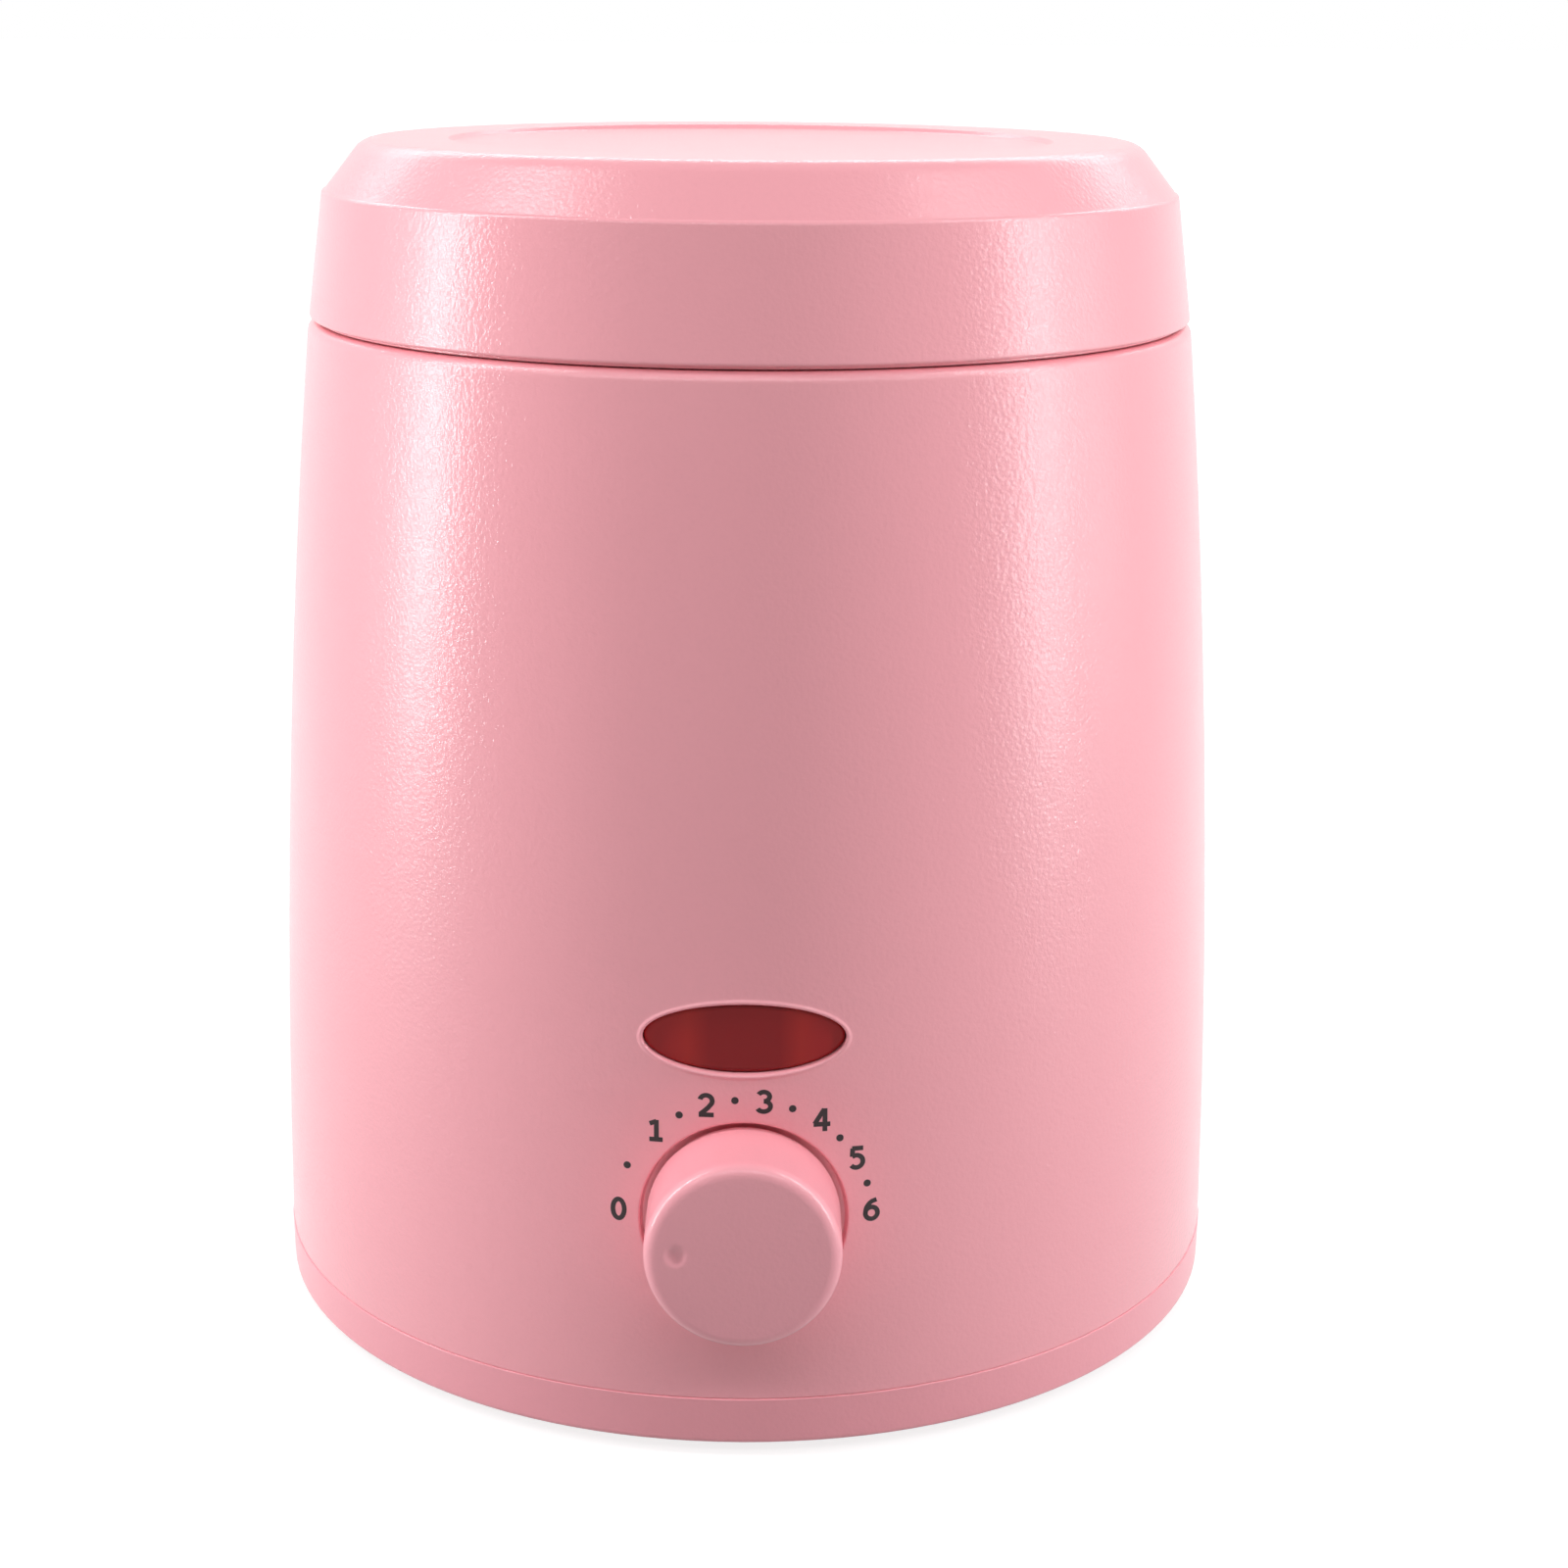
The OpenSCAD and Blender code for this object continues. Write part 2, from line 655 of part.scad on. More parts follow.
module thermostat_washer() {
    color("#c7cacd")
    difference() {
        along_y(0, bracket_y - washer_t, dial_h, bush_r + 2.6, washer_t);
        along_y(0, bracket_y - washer_t - 1, dial_h, bush_r + shaft_gap, washer_t + 2);
    }
}
module thermostat_nut() {
    nut_t = 3;
    color("#c2a24e")
    difference() {
        facing_front(bracket_y - washer_t, dial_h)
            cylinder(d = nut_flats / cos(30), h = nut_t, $fn = 6);
        along_y(0, bracket_y - washer_t - nut_t - 1, dial_h, bush_r + thread_gap, nut_t + 2);
    }
}
module thermostat_ceramics() {
    color("#efece4")
    for (y = [stack_y, front_leaf_y + leaf_t, rear_leaf_y + leaf_t]) difference() {
        along_y(stack_x, y, dial_h, spacer_r, spacer_l);
        along_y(stack_x, y - 1, dial_h, rivet_r + thread_gap, spacer_l + 2);
    }
}
module thermostat_rivet() {
    color("#b9bcc0") {
        along_y(stack_x, frame_y - 0.5, dial_h, rivet_r, stack_end_y - frame_y + 0.5);
        along_y(stack_x, stack_end_y, dial_h, rivet_r + 1.4, 1);
    }
}
// A contact leaf in the plane y, from its free end to its terminal tab
module leaf(y, t, x1) {
    difference() {
        translate([leaf_x0, y, dial_h - leaf_w / 2]) cube([x1 - leaf_x0, t, leaf_w]);
        along_y(stack_x, y - 1, dial_h, rivet_r + thread_gap, t + 2);
    }
}
module front_contact_leaf() {
    color("#b8863b") {
        leaf(front_leaf_y, leaf_t, tab_x1);
        along_y(contact_x, front_leaf_y + leaf_t - eps, dial_h, rivet_r, contact_l);
    }
}
module rear_contact_leaf() {
    color("#b8863b") {
        leaf(rear_leaf_y, leaf_t, tab_x1);
        along_y(contact_x, rear_leaf_y - contact_l, dial_h, rivet_r, contact_l + eps);
    }
}
module bimetal_strip() {
    pin_l = spacer_l - part_gap;
    color("#9c9186") {
        leaf(bimetal_y, bimetal_t, stack_x + spacer_r);
        along_y(contact_x, bimetal_y - pin_l, dial_h, 1, pin_l + eps);
    }
}
flat_depth = 0.6;
flat_l = 10;
shaft_front_y = knob_front_y + 2.6;
module thermostat_shaft() {
    tip_l = 2;
    shaft_in_y = front_leaf_y - part_gap - tip_l;
    color("#d0d2d5")
    difference() {
        union() {
            along_y(0, shaft_front_y, dial_h, shaft_r, shaft_in_y - shaft_front_y);
            along_y(0, shaft_in_y - eps, dial_h, 1.2, tip_l);
        }
        translate([-shaft_r, shaft_front_y - 1, dial_h + shaft_r - flat_depth])
            cube([2 * shaft_r, flat_l + 1, shaft_r]);
    }
}

// Knob, turned about the dial's axis, with a dimple that points at the scale
knob_t = 1.6;
hub_r = shaft_r + 2.2;
hub_back_y = knob_back_y - 1;
dial_zero = 177;
clip_t = 0.4;
clip_w = 4;
clip_l = 7;
module knob() {
    r = knob_d / 2;
    depth = knob_back_y - knob_front_y;
    face_t = 2;
    dimple_r = 1.6;
    dimple_deep = 0.45;
    dimple_out = r - 3.4;
    color("#f2a9b6")
    difference() {
        facing_front(knob_back_y, dial_h) union() {
            turned([[0, depth, 0], [r, depth, 0.9], [r, 0, 0], [r - knob_t, 0, 0],
                    [r - knob_t, depth - face_t, 0.8], [0, depth - face_t, 0]]);
            translate([0, 0, knob_back_y - hub_back_y])
                cylinder(r = hub_r, h = hub_back_y - knob_front_y - face_t / 2);
        }
        along_y(0, knob_front_y + face_t, dial_h, shaft_r + shaft_gap, 12);
        translate([-clip_w / 2 - shaft_gap, knob_front_y + face_t, dial_h])
            cube([clip_w + 2 * shaft_gap, 12, shaft_r - flat_depth + clip_t + 2 * shaft_gap]);
        translate([dimple_out * cos(dial_zero), knob_front_y - dimple_r + dimple_deep,
                   dial_h + dimple_out * sin(dial_zero)])
            sphere(r = dimple_r);
    }
}
module knob_clip() {
    color("#aeb2b7")
    translate([-clip_w / 2, shaft_front_y + 1, dial_h + shaft_r - flat_depth + shaft_gap])
        cube([clip_w, clip_l, clip_t]);
}

// Indicator: a red lens in the window, a lamp in a holder behind it, a resistor
lens_back_inset = wall + 0.15 + lens_flange_t;
holder_y = -(body_r(window_z) - lens_back_inset - 1.3);
holder_size = [20, 8, 8.4];
holder_t = 1.2;
lamp_r = 2.4;
lamp_l = 13;
lamp_y = holder_y + 4;
lamp_ear_t = 1.5;
lamp_ear_y = holder_y + holder_size[1] - 2.6;
lamp_screw_x = window_w / 2 + lens_flange_w + 4.2;
lamp_boss_r = 3;
lamp_screw_d = 2.2;
lamp_screw_l = 5.5;
lamp_head_d = 4;
lamp_head_h = 1.5;
lead_r = 0.4;
lead_hole_r = 0.8;
lead_x = lamp_l / 2 + 1.1;
lead_end_y = holder_y + holder_size[1] + 2.5;
resistor_x = lead_x + 0.9;
resistor_l = 6.5;
// Distance from the axis to the wall, set in from its face, at a window-high x
function wall_y(x, inset) = sqrt(pow(body_r(window_z) - inset, 2) - x * x);
module indicator_lens() {
    color("#a8232c") {
        intersection() {
            window_prism(window_w - 2 * lens_gap, window_h - 2 * lens_gap);
            window_band(lens_recess, lens_back_inset - 0.4);
        }
        intersection() {
            window_prism(window_w + 2 * lens_flange_w, window_h + 2 * lens_flange_w);
            window_band(wall + 0.15, lens_back_inset);
        }
    }
}
module lamp_holder() {
    inner = [for (s = holder_size) s - 2 * holder_t];
    color("#e9e6e0")
    difference() {
        union() {
            translate([-holder_size[0] / 2, holder_y, window_z - holder_size[2] / 2])
                cube(holder_size);
            facing_front(lamp_ear_y + lamp_ear_t, window_z) linear_extrude(lamp_ear_t) {
                square([2 * lamp_screw_x, 2 * lamp_boss_r], center = true);
                for (x = [-lamp_screw_x, lamp_screw_x])
                    translate([x, 0]) circle(r = lamp_boss_r);
            }
        }
        for (x = [-lamp_screw_x, lamp_screw_x]) translate([x, 0, 0])
            facing_front(lamp_ear_y + lamp_ear_t + 1, window_z)
                cylinder(d = lamp_screw_d + 2 * screw_gap, h = lamp_ear_t + 2);
        translate([-inner[0] / 2, holder_y - 1, window_z - inner[2] / 2])
            cube([inner[0], holder_size[1] - holder_t + 1, inner[2]]);
        for (x = [-lead_x, lead_x]) along_y(x, lamp_y, window_z, lead_hole_r, holder_size[1]);
    }
}
module lamp_screws() {
    color("#9da1a6")
    for (x = [-lamp_screw_x, lamp_screw_x])
        translate([x, lamp_ear_y + lamp_ear_t, window_z]) rotate([90, 0, 0])
            screw(lamp_screw_d, lamp_ear_t + lamp_screw_l - 1.5, lamp_head_d, lamp_head_h);
}
// The lamp's leads leave its ends and turn back through the holder's rear wall
module neon_lamp() {
    color("#f3d9c6") {
        along_x(-lamp_l / 2, lamp_y, window_z, lamp_r, lamp_l);
        for (x = [-lead_x, lead_x]) along_y(x, lamp_y, window_z, lead_r, lead_end_y - lamp_y);
        along_x(-lead_x, lamp_y, window_z, lead_r - 0.05, 2 * lead_x);
        along_x(lead_x, lead_end_y - lead_r, window_z, lead_r - 0.05, resistor_x - lead_x);
    }
}
module lamp_resistor() {
    color("#c9b58e")
    along_x(resistor_x, lead_end_y - lead_r, window_z, 1.3, resistor_l);
}

// Terminal block for the mains cord, on a plinth of the base cover
block_size = [22, 14, 12];
block_y = 24;
plinth_h = 2;
block_z = floor_z + plinth_h;
block_mid_y = block_y + block_size[1] / 2;
pole_x = 5.4;
pole_r = 3;
pole_z = block_z + 5;
clamp_screw_ys = [block_y + 3.6, block_y + block_size[1] - 3.6];
module terminal_block() {
    color("#ece8df")
    difference() {
        translate([-block_size[0] / 2, block_y, block_z]) cube(block_size);
        for (x = [-pole_x, pole_x]) {
            along_y(x, block_y - 1, pole_z, pole_r, block_size[1] + 2);
            for (y = clamp_screw_ys)
                translate([x, y, pole_z]) cylinder(r = 1.8, h = block_size[2]);
        }
        translate([0, block_mid_y, block_z - 1])
            cylinder(d = m3_d + 2 * screw_gap, h = block_size[2] + 2);
    }
}
module terminal_sleeves() {
    color("#c9a24a")
    for (x = [-pole_x, pole_x]) difference() {
        along_y(x, block_y + 0.5, pole_z, pole_r - 0.1, block_size[1] - 1);
        along_y(x, block_y - 1, pole_z, 1.9, block_size[1] + 2);
        for (y = clamp_screw_ys)
            translate([x, y, pole_z]) cylinder(r = 1.3, h = 8);
    }
}
module terminal_screws() {
    color("#9da1a6")
    for (x = [-pole_x, pole_x], y = clamp_screw_ys)
        translate([x, y, pole_z + 1.9]) cylinder(r = 1.25, h = 4.5);
}
module block_screw() {
    length = block_size[2] + plinth_h + base_floor - 1.4;
    color("#9da1a6")
    translate([0, block_mid_y, block_z + block_size[2]]) rotate([180, 0, 0])
        screw(m3_d, length, m3_head_d - 0.6, m3_head_h);
}

// Cord gland: a flanged bush through the rear wall, held by a nut. Its bore is
// a little wider behind the nose, so that the cord slides in easily.
module cord_gland() {
    bore_r = cord_bore_d / 2;
    wide_r = bore_r + 0.5;
    l1 = gland_seat_y - gland_tail_y;
    l2 = l1 + gland_flange_t;
    l3 = l2 + gland_nose;
    color("#3c3638")
    translate([0, gland_tail_y, cord_h]) rotate([-90, 0, 0])
        turned([[wide_r, 0, 0], [gland_r, 0, 0.4], [gland_r, l1, 0], [gland_flange_r, l1, 0],
                [gland_flange_r, l2, 0.8], [gland_r + 0.4, l2, 0],
                [gland_r - 0.5, l3, 0.6], [bore_r, l3, 0], [bore_r, l2, 0], [wide_r, l2, 0]]);
}
module gland_nut() {
    color("#4a4446")
    difference() {
        facing_front(gland_pad_in_y, cord_h)
            cylinder(r = gland_r + 2.6, h = gland_nut_t, $fn = 6);
        along_y(0, gland_pad_in_y - gland_nut_t - 1, cord_h, gland_r + thread_gap, gland_nut_t + 2);
    }
}

// Push-on terminals on the leaves' tabs
crimp_x0 = 20.5;
crimp_x1 = 31;
crimp_y_half = 1.3;
module crimp_terminals() {
    color("#cbb069")
    for (y = [front_leaf_y, rear_leaf_y]) difference() {
        translate([crimp_x0, y + leaf_t / 2 - crimp_y_half, dial_h - leaf_w / 2 - 0.6])
            cube([crimp_x1 - crimp_x0, 2 * crimp_y_half, leaf_w + 1.2]);
        translate([crimp_x0 - 1, y - 0.05, dial_h - leaf_w / 2 - 0.1])
            cube([tab_x1 - crimp_x0 + 1.1, leaf_t + 0.1, leaf_w + 0.2]);
    }
}

// Wires: a smooth curve through chosen points, swept as one tube
wire_r = wire_d / 2;
lamp_wire_r = 0.7;
wire_sides = 8;
function spline(p, step = 5) =
    let (n = len(p))
    concat([for (i = [0:n - 2], s = [0:step - 1])
        let (a = p[max(i - 1, 0)], b = p[i], c = p[i + 1], d = p[min(i + 2, n - 1)], t = s / step)
        0.5 * (2 * b + (c - a) * t + (2 * a - 5 * b + 4 * c - d) * t * t
            + (3 * b - a - 3 * c + d) * t * t * t)], [p[n - 1]]);
function unit(v) = v / norm(v);
// Each ring's side direction is the last one's, turned square to the path
function sides_from(t, i, u) =
    i >= len(t) ? [] :
    let (v = unit(u - (u * t[i]) * t[i])) concat([v], sides_from(t, i + 1, v));
// The end rings stand square to the first and the last stretch of the points
module tube(points, r) {
    p = spline(points);
    n = len(p);
    last = len(points) - 1;
    t = concat([unit(points[1] - points[0])],
        [for (i = [1:n - 2]) unit(p[i + 1] - p[i - 1])],
        [unit(points[last] - points[last - 1])]);
    u = sides_from(t, 0, abs(t[0][2]) < 0.8 ? [0, 0, 1] : [1, 0, 0]);
    k = wire_sides;
    rings = [for (i = [0:n - 1], j = [0:k - 1])
        let (w = cross(t[i], u[i]), a = 360 * j / k)
        p[i] + r * (cos(a) * u[i] + sin(a) * w)];
    skin = [for (i = [0:n - 2], j = [0:k - 1])
        let (a = i * k + j, b = i * k + (j + 1) % k) each [[a, b + k, b], [a, a + k, b + k]]];
    polyhedron(rings, concat(skin,
        [for (j = [1:k - 2]) [0, j, j + 1]],
        [for (j = [1:k - 2]) let (e = (n - 1) * k) [e, e + j + 1, e + j]]));
}
end_gap = 0.03;
crimp_end = crimp_x1 + end_gap;
heater_lead_z = bay_h - heater_size[2] / 2;
heater_side_y = heater_size[1] / 2 + end_gap;
wire_in_y = block_y + 4;
sleeve_y = block_y + 0.4;
low_z = pole_z - 0.75;
high_z = pole_z + 1.15;
module live_wire() {
    z = pole_z + 0.75;
    color("#8a5a3c")
    tube([[pole_x, wire_in_y, z], [pole_x, sleeve_y, z], [pole_x, block_y - 3, z], [13, 8, 10], [26, -6, 12],
          [38, -16, 20], [crimp_end + 5, front_leaf_y + 1, dial_h - 3],
          [crimp_end + 4, front_leaf_y, dial_h], [crimp_end, front_leaf_y, dial_h]], wire_r);
}
module heater_wire() {
    z = dial_h - 1.7;
    color("#e4e0d8")
    tube([[crimp_end, rear_leaf_y, z], [crimp_end + 4, rear_leaf_y, z],
          [39.5, rear_leaf_y + 5, dial_h + 3], [40, -3, dial_h + 11], [37, 9, fuse_z - 6],
          [26, fuse_y - 2, fuse_z - 0.5], [fuse_x0 + fuse_l + 4, fuse_y, fuse_z],
          [fuse_x0 + fuse_l + end_gap, fuse_y, fuse_z]], wire_r);
}
module fuse_wire() {
    color("#e4e0d8")
    tube([[fuse_x0 - end_gap, fuse_y, fuse_z], [fuse_x0 - 3, fuse_y, fuse_z],
          [-14, fuse_y - 1.5, heater_lead_z], [-15.5, fuse_y - 4, heater_lead_z],
          [-15.5, heater_side_y, heater_lead_z]], wire_r);
}
module neutral_wire() {
    color("#4f7fb5")
    tube([[-20.5, heater_side_y, heater_lead_z], [-20.5, heater_side_y + 3, heater_lead_z],
          [-25, 24, heater_lead_z - 8], [-29, 18, 32], [-23, 8, 18], [-11, 9, 11],
          [-pole_x, block_y - 4, low_z], [-pole_x, sleeve_y, low_z],
          [-pole_x, wire_in_y, low_z]], wire_r);
}
module lamp_wires() {
    left_y = lead_end_y + end_gap;
    right_x = resistor_x + resistor_l + end_gap;
    right_y = lead_end_y - lead_r;
    switched_z = dial_h + 1.8;
    color("#b7433f") {
        tube([[-lead_x, left_y, window_z], [-lead_x, left_y + 1, window_z],
              [-12, left_y + 2, 46], [-24, -38, 40], [-33, -22, 30], [-31, -4, 18],
              [-17, 1, 14], [-6.5, 9, 15], [-pole_x, block_y - 5, high_z + 0.6],
              [-pole_x, sleeve_y, high_z], [-pole_x, wire_in_y, high_z]], lamp_wire_r);
        tube([[right_x, right_y, window_z], [right_x + 3, right_y, window_z],
              [27, -39, 45], [37, -29, 38], [39, rear_leaf_y + 1, dial_h + 5],
              [crimp_end + 4, rear_leaf_y, switched_z],
              [crimp_end, rear_leaf_y, switched_z]], lamp_wire_r);
    }
}

housing();
base_cover();
rubber_feet();
base_screws();
lid();
heating_well();
well_gasket();
well_screws();
wax_pot();
pot_ears();
pot_bail();
ptc_heater();
mica_sheet();
heater_clamp();
heater_screws();
thermal_fuse();
fuse_strap();
fuse_screw();
thermostat_bracket();
bracket_screws();
thermostat_frame();
thermostat_washer();
thermostat_nut();
thermostat_ceramics();
thermostat_rivet();
front_contact_leaf();
rear_contact_leaf();
bimetal_strip();
thermostat_shaft();
knob();
knob_clip();
indicator_lens();
lamp_holder();
lamp_screws();
neon_lamp();
lamp_resistor();
terminal_block();
terminal_sleeves();
terminal_screws();
block_screw();
cord_gland();
gland_nut();
crimp_terminals();
live_wire();
heater_wire();
fuse_wire();
neutral_wire();
lamp_wires();
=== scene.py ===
"""A wax warmer with a round lid, a dial and a red window, dressed over its CAD model.

Every length in this file is in millimetres in the frame of the CAD model: Z up, the front towards -Y, the feet's plane
at z = 0. Meshes are scaled to metres as they are made.
"""

import json
import logging
import math
from dataclasses import dataclass, replace
from enum import Enum
from functools import cache

import bmesh
import bpy
import numpy as np
from mathutils import Matrix, Vector


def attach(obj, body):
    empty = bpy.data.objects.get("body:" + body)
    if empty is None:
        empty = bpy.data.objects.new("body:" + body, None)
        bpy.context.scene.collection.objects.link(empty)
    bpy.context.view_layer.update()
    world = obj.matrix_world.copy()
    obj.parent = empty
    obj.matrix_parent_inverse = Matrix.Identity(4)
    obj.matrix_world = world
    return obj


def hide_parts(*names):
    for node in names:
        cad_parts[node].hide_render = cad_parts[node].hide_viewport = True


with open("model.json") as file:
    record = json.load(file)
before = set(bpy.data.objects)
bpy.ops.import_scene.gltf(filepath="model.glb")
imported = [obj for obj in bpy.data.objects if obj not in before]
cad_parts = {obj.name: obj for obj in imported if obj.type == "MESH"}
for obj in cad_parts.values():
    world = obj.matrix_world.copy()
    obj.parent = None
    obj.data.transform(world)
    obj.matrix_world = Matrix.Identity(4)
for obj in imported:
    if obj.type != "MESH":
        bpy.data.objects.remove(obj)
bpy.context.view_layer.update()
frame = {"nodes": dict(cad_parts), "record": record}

LOG = logging.getLogger("wax_warmer")
MM = 0.001
Array = np.ndarray
Corner = tuple[float, ...]
Colour = tuple[int, int, int]  # as it shows on a display, 0 to 255
Material, Node, Socket = bpy.types.Material, bpy.types.Node, bpy.types.NodeSocket
Inputs = dict[str | int, object]


# ---- places that several pieces share

@dataclass(frozen=True)
class Ring:
    """Places on a circle about the upright axis: its radius, and the angle of each in degrees."""
    radius: float
    angles: tuple[float, ...]


@dataclass(frozen=True)
class Opening:
    """An oval opening in the wall: its width, its height, and how high its middle is."""
    width: float
    height: float
    z: float


BASE_SCREWS = Ring(48.6, (45, 135, 225, 315))
WELL_SCREWS = Ring(43.0, (90, 210, 330))
WINDOW = Opening(21.6, 7.7, 48.5)
DIAL_Z = 28.0
GLAND_Z = 17.5


# ---- surfaces

def rounded(corners: list[Corner], step: float = 13.0, support: float = 0.3, apart: float = 1e-4) -> Array:
    """Turns an open profile of corners (a, b, fillet) into points, each fillet an arc tangent to both of its sides.

    The tangent length is fillet / tan(half the corner's angle). A support point follows each arc's ends, so that the
    shading stays flat between two arcs.

    Args:
        corners: the corners in order, the fillet left out where it is zero.
        step: the arc's angle for each point, in degrees.
        support: the distance of the support points from an arc's ends.
        apart: the least distance between two points.
    Returns:
        The profile's points, one per row.
    """
    places = np.array([c[:2] for c in corners], float)
    fillets = np.array([c[2] if len(c) > 2 else 0.0 for c in corners], float)
    sides = np.diff(places, axis=0)
    lengths = np.linalg.norm(sides, axis=1)
    sides = sides / lengths[:, None]
    tangents, halves = np.zeros(len(places)), np.zeros(len(places))
    for i in range(1, len(places) - 1):
        if fillets[i] > 0:
            halves[i] = 0.5 * math.acos(float(np.clip(-sides[i - 1] @ sides[i], -1, 1)))
            tangents[i] = fillets[i] / math.tan(halves[i])
    points = []
    for i, here in enumerate(places):
        if not tangents[i]:
            points.append(here[None])
            continue
        back, ahead = -sides[i - 1], sides[i]
        start, end = here + back * tangents[i], here + ahead * tangents[i]
        bisector = (back + ahead) / np.linalg.norm(back + ahead)
        centre = here + bisector * fillets[i] / math.sin(halves[i])
        a0 = math.atan2(*(start - centre)[::-1])
        a1 = math.atan2(*(end - centre)[::-1])
        sweep = (a1 - a0 + math.pi) % (2 * math.pi) - math.pi
        count = max(2, math.ceil(abs(math.degrees(sweep)) / step))
        angles = a0 + sweep * np.linspace(0, 1, count + 1)
        arc = centre + fillets[i] * np.stack([np.cos(angles), np.sin(angles)], 1)
        before = (lengths[i - 1] - tangents[i] - tangents[i - 1]) / 3
        after = (lengths[i] - tangents[i] - tangents[i + 1]) / 3
        points += [(start + back * min(support, before))[None], arc, (end + ahead * min(support, after))[None]]
    profile = np.concatenate(points)
    return profile[np.concatenate([[True], np.linalg.norm(np.diff(profile, axis=0), axis=1) > apart])]


def turned(profile: Array, segments: int = 192) -> Array:
    """Turns a profile about the Z axis: x = r cos t, y = r sin t.

    Args:
        profile: the points (r, z) of the section.
        segments: the number of equal steps round.
    Returns:
        The net, with one of the profile's points for each row.
    """
    t = np.linspace(0, 2 * np.pi, segments, endpoint=False)
    r, z = profile[:, :1], profile[:, 1:2]
    return np.stack([r * np.cos(t), r * np.sin(t), z + 0 * t], -1)


def moved(net: Array, x: float = 0.0, y: float = 0.0, z: float = 0.0) -> Array:
    """Shifts a net by (x, y, z)."""
    return net + np.array([x, y, z])


def spun(net: Array, degrees: float) -> Array:
    """Turns a net about the Z axis by an angle."""
    c, s = polar(1.0, degrees)
    return net @ np.array([[c, s, 0], [-s, c, 0], [0, 0, 1]])


def polar(radius: float, degrees: float) -> tuple[float, float]:
    """The place at a radius from the middle, and at an angle from the first axis."""
    return radius * math.cos(math.radians(degrees)), radius * math.sin(math.radians(degrees))


def facing_front(net: Array, height: float) -> Array:
    """Lays a net that points up so that it points to the front: (x, y, z) becomes (x, -z, height + y)."""
    return np.stack([net[..., 0], -net[..., 2], net[..., 1] + height], -1)


def facing_back(net: Array, height: float) -> Array:
    """Lays a net that points up so that it points to the back: (x, y, z) becomes (-x, z, height + y)."""
    return np.stack([-net[..., 0], net[..., 2], net[..., 1] + height], -1)


def block(low: Corner, high: Corner, edge: float = 0.2) -> Array:
    """Net of a box with chamfered upright edges: an octagonal tube, closed by two flat ends.

    Args:
        low: the lowest corner.
        high: the highest corner.
        edge: the chamfer's width.
    Returns:
        The net, whose first and last rows are drawn together in the middle of the ends.
    """
    (x0, y0, z0), (x1, y1, z1) = low, high
    outline = np.array([(x0 + edge, y0), (x1 - edge, y0), (x1, y0 + edge), (x1, y1 - edge),
                        (x1 - edge, y1), (x0 + edge, y1), (x0, y1 - edge), (x0, y0 + edge)])
    middle = outline.mean(0)
    rings = [(0.0, z0), (1.0, z0), (1.0, z1), (0.0, z1)]
    return np.stack([np.column_stack([middle + (outline - middle) * s, np.full(8, z)]) for s, z in rings])


def smooth_path(knots: list[Corner], count: int) -> Array:
    """Catmull-Rom curve through knots: each span is the usual cubic of its four nearest knots.

    Args:
        knots: the places that the curve goes through.
        count: the number of its points.
    Returns:
        The points, in equal steps of each span.
    """
    p = np.array(knots, float)
    p = np.concatenate([2 * p[:1] - p[1:2], p, 2 * p[-1:] - p[-2:-1]])
    s = np.linspace(0, len(knots) - 1, count)
    i = np.minimum(s.astype(int), len(knots) - 2)
    u = (s - i)[:, None]
    a, b, c, d = p[i], p[i + 1], p[i + 2], p[i + 3]
    return 0.5 * (2 * b + (c - a) * u + (2 * a - 5 * b + 4 * c - d) * u**2 + (3 * b - a - 3 * c + d) * u**3)


@dataclass(frozen=True)
class Post:
    """A round post with a blind hole up from its foot. Its fillets are the hole's edge, the foot's and the top's."""
    radius: float
    foot: float
    top: float
    hole_r: float
    hole_end: float
    fillets: Corner = (0.0, 0.3, 0.0)
    segments: int = 40

    def net(self) -> Array:
        """The post's section, turned: out over the hole's end, down the hole, over the foot and up the outside.

        Returns:
            The net, about the upright axis.
        """
        mouth, foot, top = self.fillets
        section = rounded([(0, self.hole_end), (self.hole_r, self.hole_end), (self.hole_r, self.foot, mouth),
                           (self.radius, self.foot, foot), (self.radius, self.top, top), (0, self.top)])
        return turned(section, self.segments)


